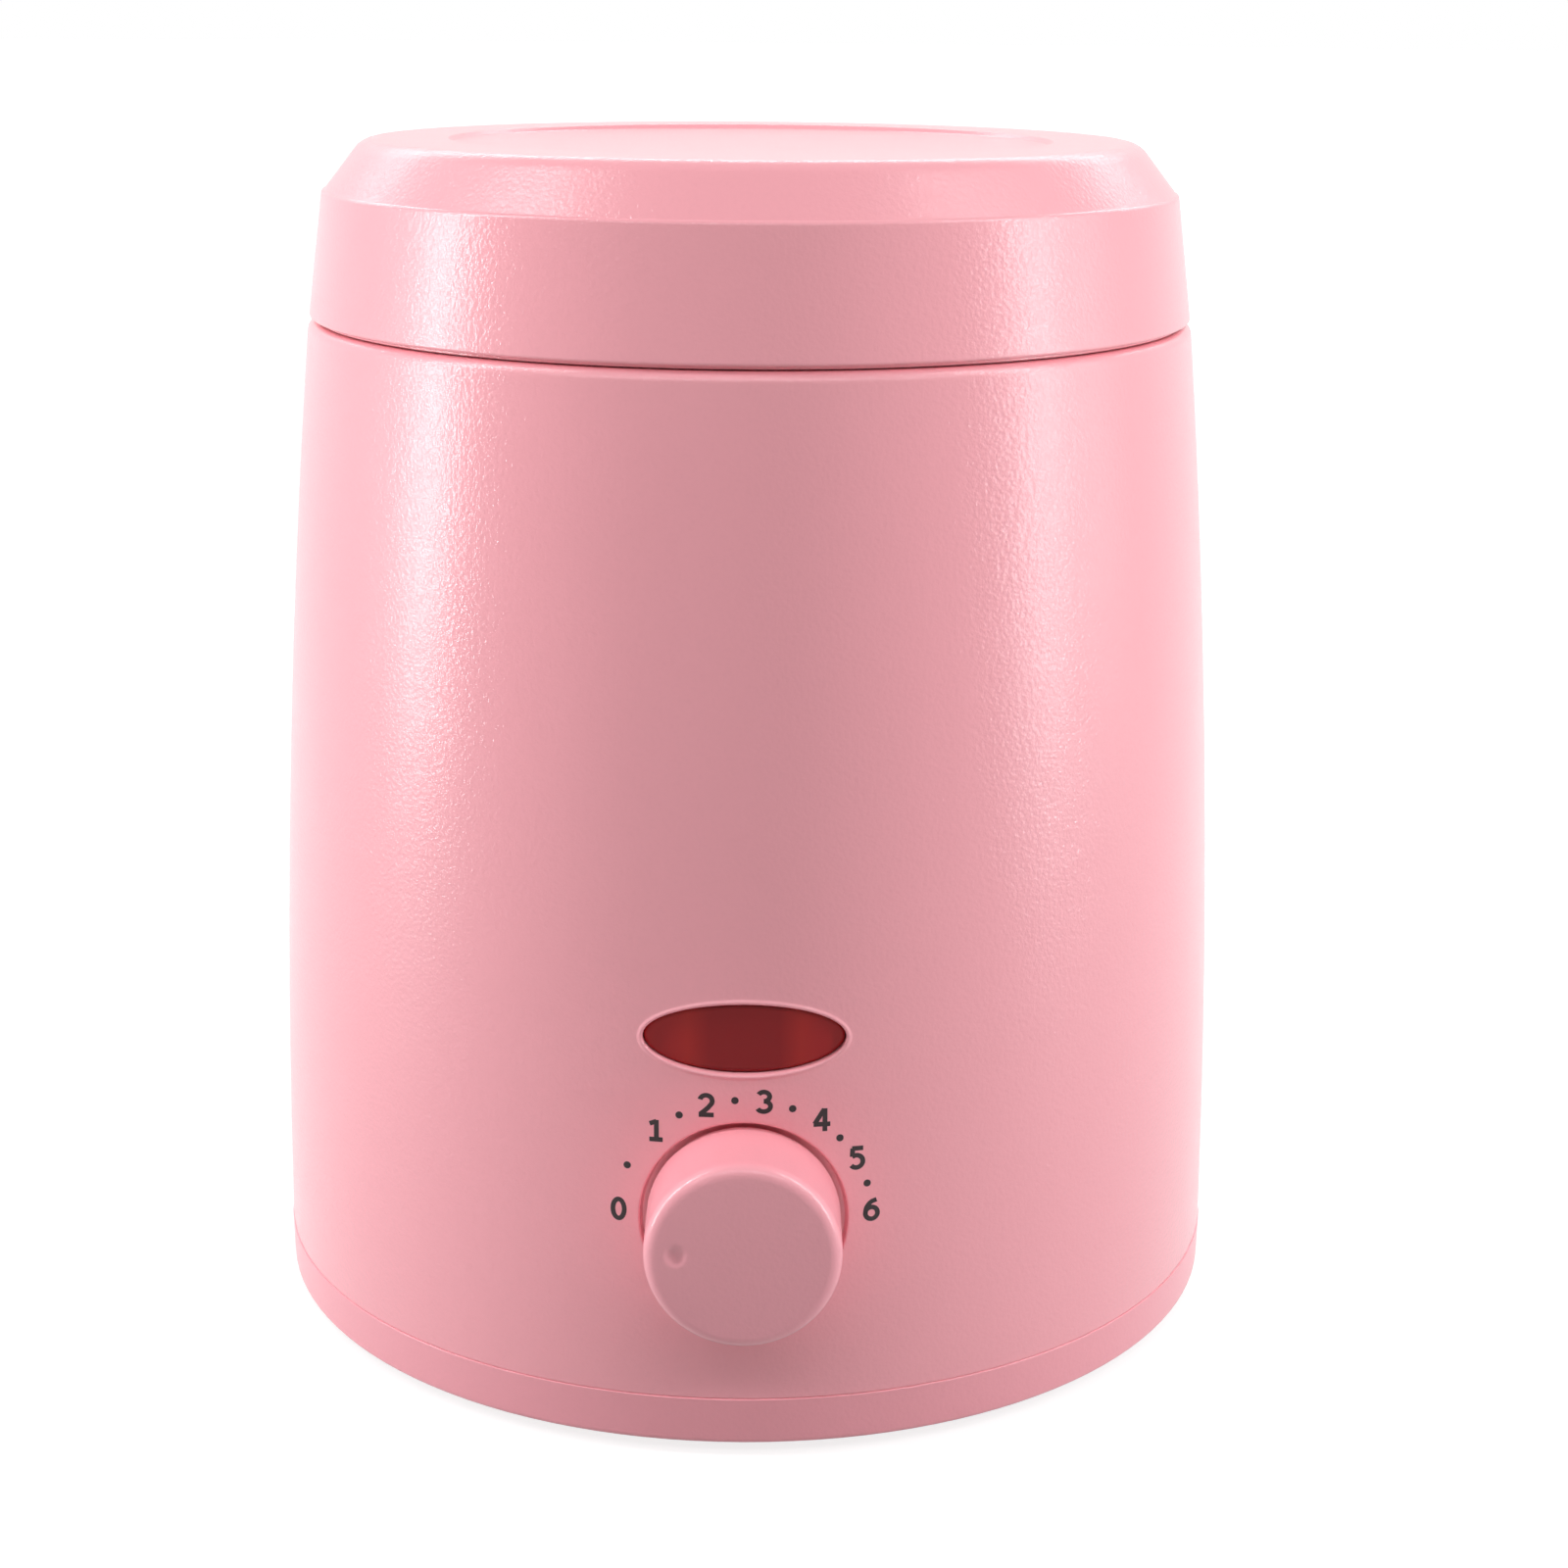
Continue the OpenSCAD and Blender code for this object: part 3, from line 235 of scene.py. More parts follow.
class Skin:
    """Collects nets of points and joins them into the closed mesh of one piece."""

    def __init__(self) -> None:
        """Starts with no points."""
        self.points: list[Array] = []
        self.quads: list[Array] = []
        self.count = 0

    def add(self, net: Array, closed: bool = False, keep: Array | None = None) -> "Skin":
        """Adds a net of points (rows, columns, 3) as quads between neighbours, its last column joined to its first.

        Args:
            net: the points.
            closed: whether the last row joins the first.
            keep: which of the quads are kept, as a mask of (rows, columns).
        Returns:
            The skin itself.
        """
        rows, columns = net.shape[:2]
        index = np.arange(rows * columns).reshape(rows, columns) + self.count
        right, up = np.roll(index, -1, 1), np.roll(index, -1, 0)
        quads = np.stack([index, right, np.roll(up, -1, 1), up], -1)
        kept = np.ones((rows, columns), bool) if keep is None else keep.copy()
        kept[-1] &= closed
        self.points.append(net.reshape(-1, 3))
        self.quads.append(quads[kept])
        self.count += rows * columns
        return self

    def add_ring(self, net: Array, ring: Ring, z: float = 0.0, closed: bool = False) -> "Skin":
        """Adds a copy of a net at each place of a ring.

        Args:
            net: the points, round the place's own upright axis.
            ring: the places.
            z: how far the copies are moved up.
            closed: whether the last row joins the first.
        Returns:
            The skin itself.
        """
        for angle in ring.angles:
            self.add(spun(moved(net, ring.radius, z=z), angle), closed)
        return self

    def make(self, name: str, sharp: float = 34.0) -> bpy.types.Object:
        """Makes the mesh object: doubles merged, normals outward, smooth but for its sharp edges.

        Args:
            name: the piece's name.
            sharp: the angle in degrees past which an edge is sharp.
        Returns:
            The object, linked to the scene.
        """
        mesh = bpy.data.meshes.new(name)
        mesh.from_pydata((np.concatenate(self.points) * MM).tolist(), [], np.concatenate(self.quads).tolist())
        work = bmesh.new()
        work.from_mesh(mesh)
        bmesh.ops.remove_doubles(work, verts=work.verts, dist=2e-6)
        bmesh.ops.dissolve_degenerate(work, edges=work.edges, dist=1e-6)
        bmesh.ops.recalc_face_normals(work, faces=work.faces)
        work.to_mesh(mesh)
        work.free()
        mesh.polygons.foreach_set("use_smooth", np.ones(len(mesh.polygons), bool))
        mesh.set_sharp_from_angle(angle=math.radians(sharp))
        piece = bpy.data.objects.new(name, mesh)
        bpy.context.scene.collection.objects.link(piece)
        return piece


# ---- finishes

class Nodes:
    """The shader nodes of a material or of the world, and the coordinates that their patterns read."""

    def __init__(self, owner: Material | bpy.types.World, space: str = "Object") -> None:
        """Starts from the nodes that the owner has at first.

        Args:
            owner: the material or the world.
            space: the coordinates' name.
        """
        owner.use_nodes = True
        self.tree = owner.node_tree
        self.space = self.add("TexCoord").outputs[space]

    def own(self, name: str) -> Node:
        """One of the nodes that the owner had at first."""
        return self.tree.nodes[name]

    def add(self, kind: str, inputs: Inputs | None = None, **settings: object) -> Node:
        """Adds a node.

        Args:
            kind: its type, without the words that every shader node's type starts with.
            inputs: its inputs, as feed takes them.
            settings: its other properties.
        Returns:
            The node.
        """
        node = self.tree.nodes.new("ShaderNode" + kind)
        for name, value in settings.items():
            setattr(node, name, value)
        self.feed(node, inputs or {})
        return node

    def feed(self, node: Node, inputs: Inputs) -> None:
        """Gives a node its inputs.

        Args:
            node: the node.
            inputs: for each input a plain value, a socket, or a node, which stands for its first live output.
        """
        for key, value in inputs.items():
            if isinstance(value, Node):
                value = next(out for out in value.outputs if out.enabled)
            if isinstance(value, Socket):
                self.tree.links.new(value, node.inputs[key])
            else:
                node.inputs[key].default_value = value

    def noise(self, size_mm: float, detail: float = 2.0, space: Node | Socket | None = None) -> Node:
        """A noise whose features are about size_mm wide, on the patterns' coordinates if none are given."""
        space = self.space if space is None else space
        return self.add("TexNoise", {"Vector": space, "Scale": 1 / (size_mm * MM), "Detail": detail})

    def between(self, value: Node, span: tuple[float, float], ends: tuple[float, float], **settings: object) -> Node:
        """Maps a value from a span onto two end values, and holds it there past them.

        Args:
            value: the node that gives the value.
            span: the span's two limits.
            ends: what the value becomes at each.
            settings: the mapping node's other properties.
        Returns:
            The mapping node.
        """
        (a, b), (c, d) = span, ends
        inputs = {"Value": value, "From Min": a, "From Max": b, "To Min": c, "To Max": d}
        return self.add("MapRange", inputs, **settings)

    def bump(self, height: Node, relief_mm: float) -> Node:
        """Relief of a depth in millimetres."""
        return self.add("Bump", {"Height": height, "Distance": relief_mm * MM})


class Grain(Enum):
    """The way that a surface's fine relief runs."""
    PEEL = "moulded skin"
    TURNED = "rings about the upright axis"
    DIAL = "rings about the dial's axis"
    DRAWN = "lines along X"
    UPRIGHT = "lines along Z"
    BRAID = "crossed threads"


def linear(value: float) -> float:
    """Linear light of a display value: the sRGB curve."""
    return value / 12.92 if value <= 0.04045 else ((value + 0.055) / 1.055) ** 2.4


def paint(colour: Colour, share: float = 1.0) -> Corner:
    """A colour as a shader takes it: in linear light, times a share, at most white, with a full alpha."""
    return (*(min(1.0, linear(value / 255) * share) for value in colour), 1.0)


@dataclass(frozen=True)
class Finish:
    """A material's look: colour with slow mottling, uneven gloss and a fine relief, all worked out in the shader.

    Lengths are in millimetres: mottle_mm is the size of the slow colour changes and grain_mm that of the fine relief.
    The patches of uneven gloss are gloss_patch times the mottle's size. The speckle's colour is speckle_shade times
    the finish's, and it grows over speckle_span of its noise. Lines of grain are stretch times as long as wide.
    """
    name: str
    colour: Colour
    roughness: float = 0.4
    metallic: float = 0.0
    grain: Grain = Grain.PEEL
    grain_mm: float = 0.45
    relief_mm: float = 0.004
    mottle_mm: float = 14.0
    mottle: float = 0.03
    uneven: float = 0.05
    coat: float = 0.0
    coat_roughness: float = 0.09
    coat_relief_mm: float = 0.004
    ior: float = 1.5
    speckle: float = 0.0
    speckle_shade: float = 0.82
    speckle_span: tuple[float, float] = (0.52, 0.72)
    gloss_patch: float = 0.4
    gloss_span: tuple[float, float] = (0.3, 0.7)
    glow: float = 0.0
    stretch: float = 22.0

    @cache
    def material(self) -> Material:
        """The material of this finish, made on its first use. The CAD model's own materials have other names.

        Returns:
            The material.
        """
        made = bpy.data.materials.new(self.name)
        made.diffuse_color = paint(self.colour)
        nodes = Nodes(made)
        shader = nodes.own("Principled BSDF")
        nodes.feed(shader, {
            "Base Color": self._shade(nodes), "Roughness": self._gloss(nodes), "Metallic": self.metallic,
            "IOR": self.ior, "Coat Weight": self.coat, "Coat Roughness": self.coat_roughness, **self._relief(nodes)})
        if self.glow:
            nodes.feed(shader, {"Emission Color": paint(self.colour), "Emission Strength": self.glow})
        return made

    def _shade(self, nodes: Nodes) -> Node:
        """Base colour: the slow noise mixes a darker and a lighter shade, the fine one adds the speckle.

        Args:
            nodes: the material's nodes.
        Returns:
            The node whose result is the colour.
        """
        mix = nodes.add("Mix", {"Factor": nodes.noise(self.mottle_mm, 3.0), "A": paint(self.colour, 1 - self.mottle),
                                "B": paint(self.colour, 1 + self.mottle)}, data_type="RGBA")
        if not self.speckle:
            return mix
        fine = nodes.between(nodes.noise(self.grain_mm, 1.0), self.speckle_span, (0.0, self.speckle))
        return nodes.add("Mix", {"Factor": fine, "A": mix, "B": paint(self.colour, self.speckle_shade)},
                         data_type="RGBA")

    def _gloss(self, nodes: Nodes) -> Node:
        """Roughness: a noise spread evenly about the finish's own roughness."""
        ends = max(0.02, self.roughness - self.uneven), min(1.0, self.roughness + self.uneven)
        return nodes.between(nodes.noise(self.mottle_mm * self.gloss_patch, 4.0), self.gloss_span, ends)

    def _relief(self, nodes: Nodes) -> Inputs:
        """Relief: noise on coordinates that are stretched, or rolled into a radius, the way that the grain runs.

        Args:
            nodes: the material's nodes.
        Returns:
            The shader's normal and its coat's, where they have a relief.
        """
        vector: Node | Socket = nodes.space
        thin = 1 / self.stretch
        if self.grain in (Grain.DRAWN, Grain.UPRIGHT):
            scale = (thin, 1, 1) if self.grain is Grain.DRAWN else (1, 1, thin)
            vector = nodes.add("Mapping", {"Vector": vector, "Scale": scale})
        elif self.grain in (Grain.TURNED, Grain.DIAL):
            scale, middle, along = ((1, 1, 0), 0.0, "Z") if self.grain is Grain.TURNED else ((1, 0, 1), DIAL_Z, "Y")
            flat = nodes.add("Mapping", {"Vector": vector, "Scale": scale, "Location": (0, 0, -middle * MM)})
            vector = nodes.add("CombineXYZ", {
                "X": nodes.add("VectorMath", {0: flat}, operation="LENGTH"),
                "Y": nodes.add("SeparateXYZ", {"Vector": vector}).outputs[along]})
        height = nodes.noise(self.grain_mm, 2.5, vector)
        if self.grain is Grain.BRAID:
            height = nodes.add("TexVoronoi", {"Vector": vector, "Scale": 1 / (self.grain_mm * MM)})
        reliefs = {"Normal": self.relief_mm, "Coat Normal": self.coat_relief_mm if self.coat else 0.0}
        return {socket: nodes.bump(height, relief) for socket, relief in reliefs.items() if relief}


PINK = (247, 167, 177)
SHELL = Finish("pink_moulded_shell", PINK, 0.32, grain_mm=0.5, relief_mm=0.03, mottle=0.008, uneven=0.01,
               speckle=0.06, coat=0.46, coat_relief_mm=0.11, ior=1.42)
LID_PINK = replace(SHELL, name="pink_lid_shell")
# the dial's pink is a little lighter than the shell's: painted light that brightens the knob's face
DIAL_PINK = replace(SHELL, name="pink_dial_plastic", colour=(250, 169, 180), roughness=0.34, coat=0.4,
                    coat_relief_mm=0.04)
BASE_PINK = replace(SHELL, name="pink_base_plastic", colour=(246, 165, 176), roughness=0.36, coat=0.2,
                    coat_relief_mm=0.04)
ALUMINIUM = Finish("spun_aluminium", (188, 190, 194), 0.32, 1.0, Grain.TURNED, 0.35, 0.0025, 30, 0.03, 0.02)
WELL_ALUMINIUM = replace(ALUMINIUM, name="pressed_aluminium", colour=(180, 182, 186), roughness=0.38)
WIRE_STEEL = Finish("bright_drawn_steel", (178, 180, 184), 0.22, 1.0, Grain.DRAWN, 0.3, 0.0012, 12, 0.04, 0.05)
SHEET_STEEL = Finish("stamped_steel", (200, 202, 205), 0.33, 1.0, Grain.UPRIGHT, 0.25, 0.002, 9, 0.05, 0.07)
SCREW_STEEL = Finish("plated_screw_steel", (176, 178, 182), 0.30, 1.0, Grain.PEEL, 0.25, 0.003, 3, 0.06, 0.08)
INK = Finish("dial_ink", (26, 12, 16), 0.6, grain_mm=0.12, relief_mm=0.003, mottle_mm=1.2, mottle=0.10)
GLAND_PLASTIC = Finish("moulded_gland_plastic", (64, 56, 59), 0.42, grain_mm=0.3, relief_mm=0.006, mottle=0.05)
FOOT_RUBBER = Finish("moulded_foot_rubber", (74, 68, 70), 0.78, grain_mm=0.5, relief_mm=0.015, mottle=0.06, uneven=0.1)

BY_SLOT = {
    "gasket_silicone": Finish("moulded_silicone", (217, 212, 207), 0.55, grain_mm=0.6, relief_mm=0.01),
    "heater_case": Finish("brushed_heater_case", (188, 190, 192), 0.40, 1.0, Grain.DRAWN, 0.35, 0.003, 12, 0.05, 0.08),
    "mica": Finish("mica_sheet", (168, 150, 116), 0.30, 0.0, Grain.DRAWN, 0.8, 0.01, 5, 0.12, 0.12, coat=0.4),
    "zinc_steel": Finish("zinc_plated_steel", (196, 199, 200), 0.36, 1.0, Grain.DRAWN, 0.4, 0.002, 6, 0.08, 0.1),
    "fuse_sleeve": Finish("glass_sleeving", (236, 232, 222), 0.7, 0.0, Grain.BRAID, 0.5, 0.08, 3, 0.06),
    "nut_brass": Finish("turned_brass", (196, 164, 96), 0.28, 1.0, Grain.DIAL, 0.2, 0.003, 4, 0.05, 0.08),
    "steatite": Finish("fired_steatite", (232, 226, 212), 0.48, 0.0, Grain.PEEL, 0.25, 0.008, 3, 0.05, 0.08),
    "spring_bronze": Finish("rolled_spring_bronze", (196, 140, 92), 0.28, 1.0, Grain.DRAWN, 0.2, 0.002, 4, 0.08, 0.08),
    "bimetal": Finish("rolled_bimetal", (168, 164, 158), 0.34, 1.0, Grain.DRAWN, 0.2, 0.002, 4, 0.08, 0.08),
    "shaft_steel": Finish("turned_shaft_steel", (198, 200, 203), 0.24, 1.0, Grain.DIAL, 0.15, 0.0015, 4, 0.03, 0.05),
    "holder_plastic": Finish("moulded_holder_plastic", (236, 232, 224), 0.45, grain_mm=0.4, relief_mm=0.006),
    "lamp_glass": Finish("blown_lamp_glass", (244, 176, 120), 0.08, grain_mm=2.0, relief_mm=0.004, coat=0.6, glow=0.35),
    "resistor_coat": Finish("dipped_resistor_coat", (206, 186, 146), 0.42, grain_mm=0.3, relief_mm=0.01, mottle=0.08),
    "block_plastic": Finish("moulded_block_plastic", (238, 236, 230), 0.4, grain_mm=0.4, relief_mm=0.006),
    "sleeve_brass": Finish("drawn_sleeve_brass", (200, 168, 100), 0.3, 1.0, Grain.DRAWN, 0.25, 0.002, 4, 0.06, 0.08),
    "wire_brown": Finish("brown_insulation", (104, 62, 42), 0.45, grain_mm=0.5, relief_mm=0.008, mottle=0.06),
    "wire_white": Finish("white_glass_braid", (236, 232, 224), 0.72, 0.0, Grain.BRAID, 0.45, 0.07, 3, 0.06),
    "wire_blue": Finish("blue_insulation", (50, 92, 158), 0.45, grain_mm=0.5, relief_mm=0.008, mottle=0.06),
    "wire_red": Finish("red_insulation", (168, 44, 44), 0.45, grain_mm=0.5, relief_mm=0.008, mottle=0.06),
    "screw_steel": SCREW_STEEL,
    "gland_plastic": GLAND_PLASTIC,
    "base_plastic": BASE_PINK,
}


@dataclass(frozen=True)
class LensFinish:
    """Clear red plastic, drawn opaque, whose colour is deepest in the middle. Painted light: its lighter bands stand in
    for the lamp's ends showing through, and its lighter ends offset the recess's shade.
    """
    name: str = "red_lens"
    deep: Colour = (139, 20, 24)
    # bright and end are painted light: the glow of the lamp's ends through the lens, and light against the recess's
    # shade at the ends
    bright: Colour = (164, 34, 31)
    end: Colour = (158, 30, 32)
    painted_glow_mm: float = 6.0
    width_mm: float = 2.2
    end_mm: float = 11.0
    roughness: float = 0.22
    ior: float = 1.3
    grain_mm: float = 1.6
    relief_mm: float = 0.02

    def material(self) -> Material:
        """The lens's material: Object X, made positive, runs through a ramp from the deep red to the painted bright
        bands and the painted lighter ends.

        Returns:
            The material.
        """
        made = bpy.data.materials.new(self.name)
        nodes = Nodes(made)
        across = nodes.add("Math", {0: nodes.add("SeparateXYZ", {"Vector": nodes.space})}, operation="ABSOLUTE")
        ramp = nodes.add("ValToRGB", {"Fac": nodes.between(across, (0.0, self.end_mm * MM), (0.0, 1.0))})
        stops = ramp.color_ramp.elements
        # painted light: the bright stop stands in for the lamp's ends showing through, the lighter end for light
        # against the recess's shade
        stops[0].color, stops[1].color = paint(self.deep), paint(self.end)
        for step, colour in ((-1, self.deep), (0, self.bright), (1, self.end)):
            stops.new((self.painted_glow_mm + step * self.width_mm) / self.end_mm).color = paint(colour)
        nodes.feed(nodes.own("Principled BSDF"), {
            "Base Color": ramp, "Roughness": self.roughness, "IOR": self.ior,
            "Normal": nodes.bump(nodes.noise(self.grain_mm), self.relief_mm)})
        return made


def place(piece: bpy.types.Object, finish: Finish | LensFinish, body: str, slot: str | None, *nodes: str) -> None:
    """Gives a piece its material and its body, and hides the CAD nodes that it stands for.

    Args:
        piece: the finished mesh object.
        finish: its look.
        body: the CAD body that it rides on.
        slot: the record's material slot, or None for a piece with no slot of its own; not used.
        nodes: the CAD nodes that it replaces.
    """
    piece.data.materials.append(finish.material())
    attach(piece, body)
    if nodes:
        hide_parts(*nodes)
    LOG.info("%s: %d faces, on %s", piece.name, len(piece.data.polygons), body)


# ---- the wall that everything sits in

@dataclass(frozen=True)
class Wall:
    """The swelling wall of the body, a flat parabola in height."""
    rim_r: float = 51.6
    rim_z: float = 118.1
    arc: float = 1207.0
    drop: float = 4.5
    thick: float = 2.4
    seam_z: float = 7.0

    def radius(self, z: Array | float) -> Array | float:
        """Radius at a height: rim_r + ((rim_z + drop)^2 - (z + drop)^2) / (2 arc)."""
        return self.rim_r + ((self.rim_z + self.drop) ** 2 - (z + self.drop) ** 2) / (2 * self.arc)

    def depth(self, x: Array | float, z: Array | float, inset: Array | float = 0.0) -> Array:
        """Distance of the wall from the plane y = 0: sqrt((radius(z) - inset)^2 - x^2)."""
        return np.sqrt((self.radius(z) - inset) ** 2 - np.asarray(x) ** 2)

    def points(self, x: Array, z: Array, inset: Array | float = 0.0, side: int = -1) -> Array:
        """Places (x, z) put on the wall, or an inset behind its face, at the front (-1) or at the back (1)."""
        return np.stack([x, side * self.depth(x, z, inset), z], -1)


WALL = Wall()
PortRing = tuple[float, float | None, float | None]


@dataclass(frozen=True)
class Port:
    """A hole through the wall, as rings that lead from a cut in its outer face to the same cut in its inner face.

    Each ring is (growth of the outline, inset from the wall's face or None, distance from the plane y = 0 or None).
    """
    outline: Opening
    side: int
    rings: list[PortRing]
    spread: tuple[float, float] = (1.0, 1.0)
    shares_out: tuple[float, ...] = (0.3, 0.6, 0.85)
    shares_in: tuple[float, ...] = (0.85, 0.5)

    def tube(self, outer: Array, inner: Array) -> Array:
        """The net of rings between two loops of points.

        A ring's points are ((w / 2 + g) cos t, z + (h / 2 + g) sin t), at the angles t of the outer loop's points.
        Between a loop and its nearest ring lie rings mixed of the two, by the given shares, and put on the wall.

        Args:
            outer: the cut's loop in the outer face.
            inner: the same in the inner face.
        Returns:
            The net, a ring per row.
        """
        middle = self.outline.z
        t = np.arctan2((outer[:, 2] - middle) / self.spread[1], outer[:, 0] / self.spread[0])
        rows = []
        for growth, inset, flat in self.rings:
            x = (self.outline.width / 2 + growth) * np.cos(t)
            z = middle + (self.outline.height / 2 + growth) * np.sin(t)
            y = self.side * (WALL.depth(x, z, inset) if flat is None else flat + 0 * x)
            rows.append(np.stack([x, y, z], -1))
        first = [self._mixed(outer, rows[0], s, 0.0) for s in self.shares_out]
        last = [self._mixed(inner, rows[-1], s, WALL.thick) for s in self.shares_in]
        return np.stack([outer, *first, *rows, *last, inner])

    def _mixed(self, loop: Array, ring: Array, share: float, inset: float) -> Array:
        """Points part of the way from a loop to a ring, put back on the wall."""
        x, z = ((1 - share) * loop + share * ring)[:, [0, 2]].T
        return WALL.points(x, z, inset, self.side)


def quarter(wide: float, deep: float, start: float, count: int) -> list[PortRing]:
    """Rings of a quarter round into a hole, by growth wide (1 - sin a) and inset start + deep (1 - cos a)."""
    turns = np.radians(np.linspace(0, 90, count))
    return [(wide * (1 - math.sin(a)), start + deep * (1 - math.cos(a)), None) for a in turns]


def lip(fillet: float, margin: float = 0.22) -> list[PortRing]:
    """Rings of a quarter round from the wall's face, with a margin of it, into a hole."""
    return [(fillet + margin, 0.0, None), *quarter(fillet, fillet, 0.0, 8)]


def bead(width: float, rise: float, drop: float = 0.35, crest_at: float = 0.42, margin: float = 0.25) -> list[PortRing]:
    """Rings of a low bead round a hole: a swell that leaves the wall's face as a cosine and ends in a quarter round.

    Args:
        width: the bead's width, from the hole's edge outwards.
        rise: its height over the wall's face.
        drop: the depth of the quarter round into the hole.
        crest_at: where the bead is highest, as a share of its width.
        margin: the width of the wall's face that goes with it.
    Returns:
        The rings, from the outside in.
    """
    crest = crest_at * width
    swell = [(width - (width - crest) * s, -rise * (1 - math.cos(math.pi * s)) / 2, None)
             for s in np.linspace(0, 1, 8)[:-1]]
    return [(width + margin, 0.0, None), *swell, *quarter(crest, drop, -rise, 10)]


@dataclass
class Housing:
    """The body's shell: its wall with the dial's pocket, the window and the gland's seat, its ledge and its posts.

    The wall is a net whose rows stand in bands of height, so that each hole takes whole cells out of it.
    """
    ledge_z: float = 115.1
    ledge_t: float = 2.5
    bore_r: float = 39.3
    pocket_d: float = 22.3
    pocket_y: float = 55.6
    boss_y: float = 53.1
    boss_d: float = 26.3
    shaft_hole_d: float = 8.0
    seat_d: float = 16.4
    seat_y: float = 56.7
    seat_back_y: float = 53.5
    seat_hole: float = -3.1
    front_half: float = 19.0
    back_half: float = 12.0
    columns: tuple[int, int, int] = (49, 65, 33)
    bands: tuple[Corner, ...] = ((8.0, 12.5, 7), (12.5, 41.5, 37), (41.5, 56.5, 21))
    outer_rows: tuple[float, float, int] = (7.65, 116.0, 25)
    inner_rows: tuple[float, float, int] = (7.35, 111.5, 23)
    seat_block: float = 27.81
    base_post: Post = Post(4.2, 8, 34, 1.5, 22, (0.0, 0.3, 0.5), 48)
    well_post: Post = Post(3.4, 104.1, 113, 1.5, 106)
    lamp_post: Post = Post(3, 46.2, 52.4, 1.2, 49, segments=36)
    lamp_post_x: float = 17.6

    def _levels(self, foot: float, top: float, count: int) -> Array:
        """Heights of the rows of one of the wall's faces.

        Args:
            foot: the height of the lowest row, under the bands.
            top: the height of the highest row.
            count: the rows from the last band up to it.
        Returns:
            The heights, upwards.
        """
        bands = *self.bands, (self.bands[-1][1], top, count)
        return np.concatenate([[foot], *(np.linspace(a, b, n)[:-1] for a, b, n in bands), [top]])

    def _profile(self, outer_z: Array, inner_z: Array) -> tuple[Array, int, int]:
        """The wall's closed section (r, z): up the outer face, over the rim and the ledge, down the inner face.

        Args:
            outer_z: the heights of the outer face's rows, upwards.
            inner_z: those of the inner face's rows, downwards.
        Returns:
            The section, and the rows at which its outer and inner faces start.
        """
        w, t, foot_z = WALL, WALL.thick, WALL.seam_z
        foot = rounded([(w.radius(foot_z) - 3, foot_z), (w.radius(foot_z), foot_z, 0.15), (w.radius(7.6), 7.6)])[1:-1]
        under = self.ledge_z - self.ledge_t
        rim = rounded([(w.radius(116.3), 116.3), (w.rim_r, w.rim_z, 1.2), (w.rim_r - t, w.rim_z, 0.45),
                       (w.radius(self.ledge_z) - t, self.ledge_z, 0.3), (self.bore_r, self.ledge_z, 0.3),
                       (self.bore_r, under, 0.3), (w.radius(under) - t, under, 0.6),
                       (w.radius(111.9) - t, 111.9)])
        outer = np.stack([w.radius(outer_z), outer_z], 1)
        inner = np.stack([w.radius(inner_z) - t, inner_z], 1)
        section = np.concatenate([foot, outer, rim, inner, [[w.radius(foot_z) - t, foot_z]]])
        return section, len(foot), len(foot) + len(outer) + len(rim)

    def _net(self, profile: Array) -> Array:
        """The wall's net: columns at equal steps of x across the front and the back, of angle at the sides.

        A column's angle from the front is asin(x / r), so that it stays in one plane x = constant at every height.

        Args:
            profile: the section's points (r, z).
        Returns:
            The net, with one of the section's points for each row.
        """
        r = profile[:, :1]
        in_front, beside, behind = self.columns
        front = np.arcsin(np.linspace(-self.front_half, self.front_half, in_front) / r)
        back = np.pi - np.arcsin(np.linspace(self.back_half, -self.back_half, behind) / r)
        s = np.linspace(0, 1, beside + 2)[1:-1]
        right = front[:, -1:] * (1 - s) + back[:, :1] * s
        left = back[:, -1:] * (1 - s) + (front[:, :1] + 2 * np.pi) * s
        angle = np.concatenate([front, right, back, left], 1)
        return np.stack([r * np.sin(angle), -r * np.cos(angle), profile[:, 1:] + 0 * angle], -1)

    @staticmethod
    def _cut(net: Array, keep: Array, faces: list[tuple[Array, int]], low: float, high: float, columns: Array,
             port: Port) -> Array:
        """Takes a block of cells out of both faces of the wall and closes the cut with the port's tube.

        Args:
            net: the wall's net.
            keep: the mask of its cells, changed here.
            faces: the heights of the outer and of the inner face's rows, each with its first row in the net.
            low: the block's lower edge.
            high: the block's upper edge.
            columns: the block's columns.
            port: the hole.
        Returns:
            The tube's net.
        """
        loops = []
        for levels, start in faces:
            rows = np.nonzero((levels > low - 1e-6) & (levels < high + 1e-6))[0] + start
            rows = rows if levels[0] < levels[-1] else rows[::-1]
            keep[rows.min():rows.max(), columns[0]:columns[-1]] = False
            i = np.concatenate([np.full(len(columns), rows[0]), rows[1:-1],
                                np.full(len(columns), rows[-1]), rows[-2:0:-1]])
            j = np.concatenate([columns, np.full(len(rows) - 2, columns[-1]),
                                columns[::-1], np.full(len(rows) - 2, columns[0])])
            loops.append(net[i, j])
        return port.tube(*loops)

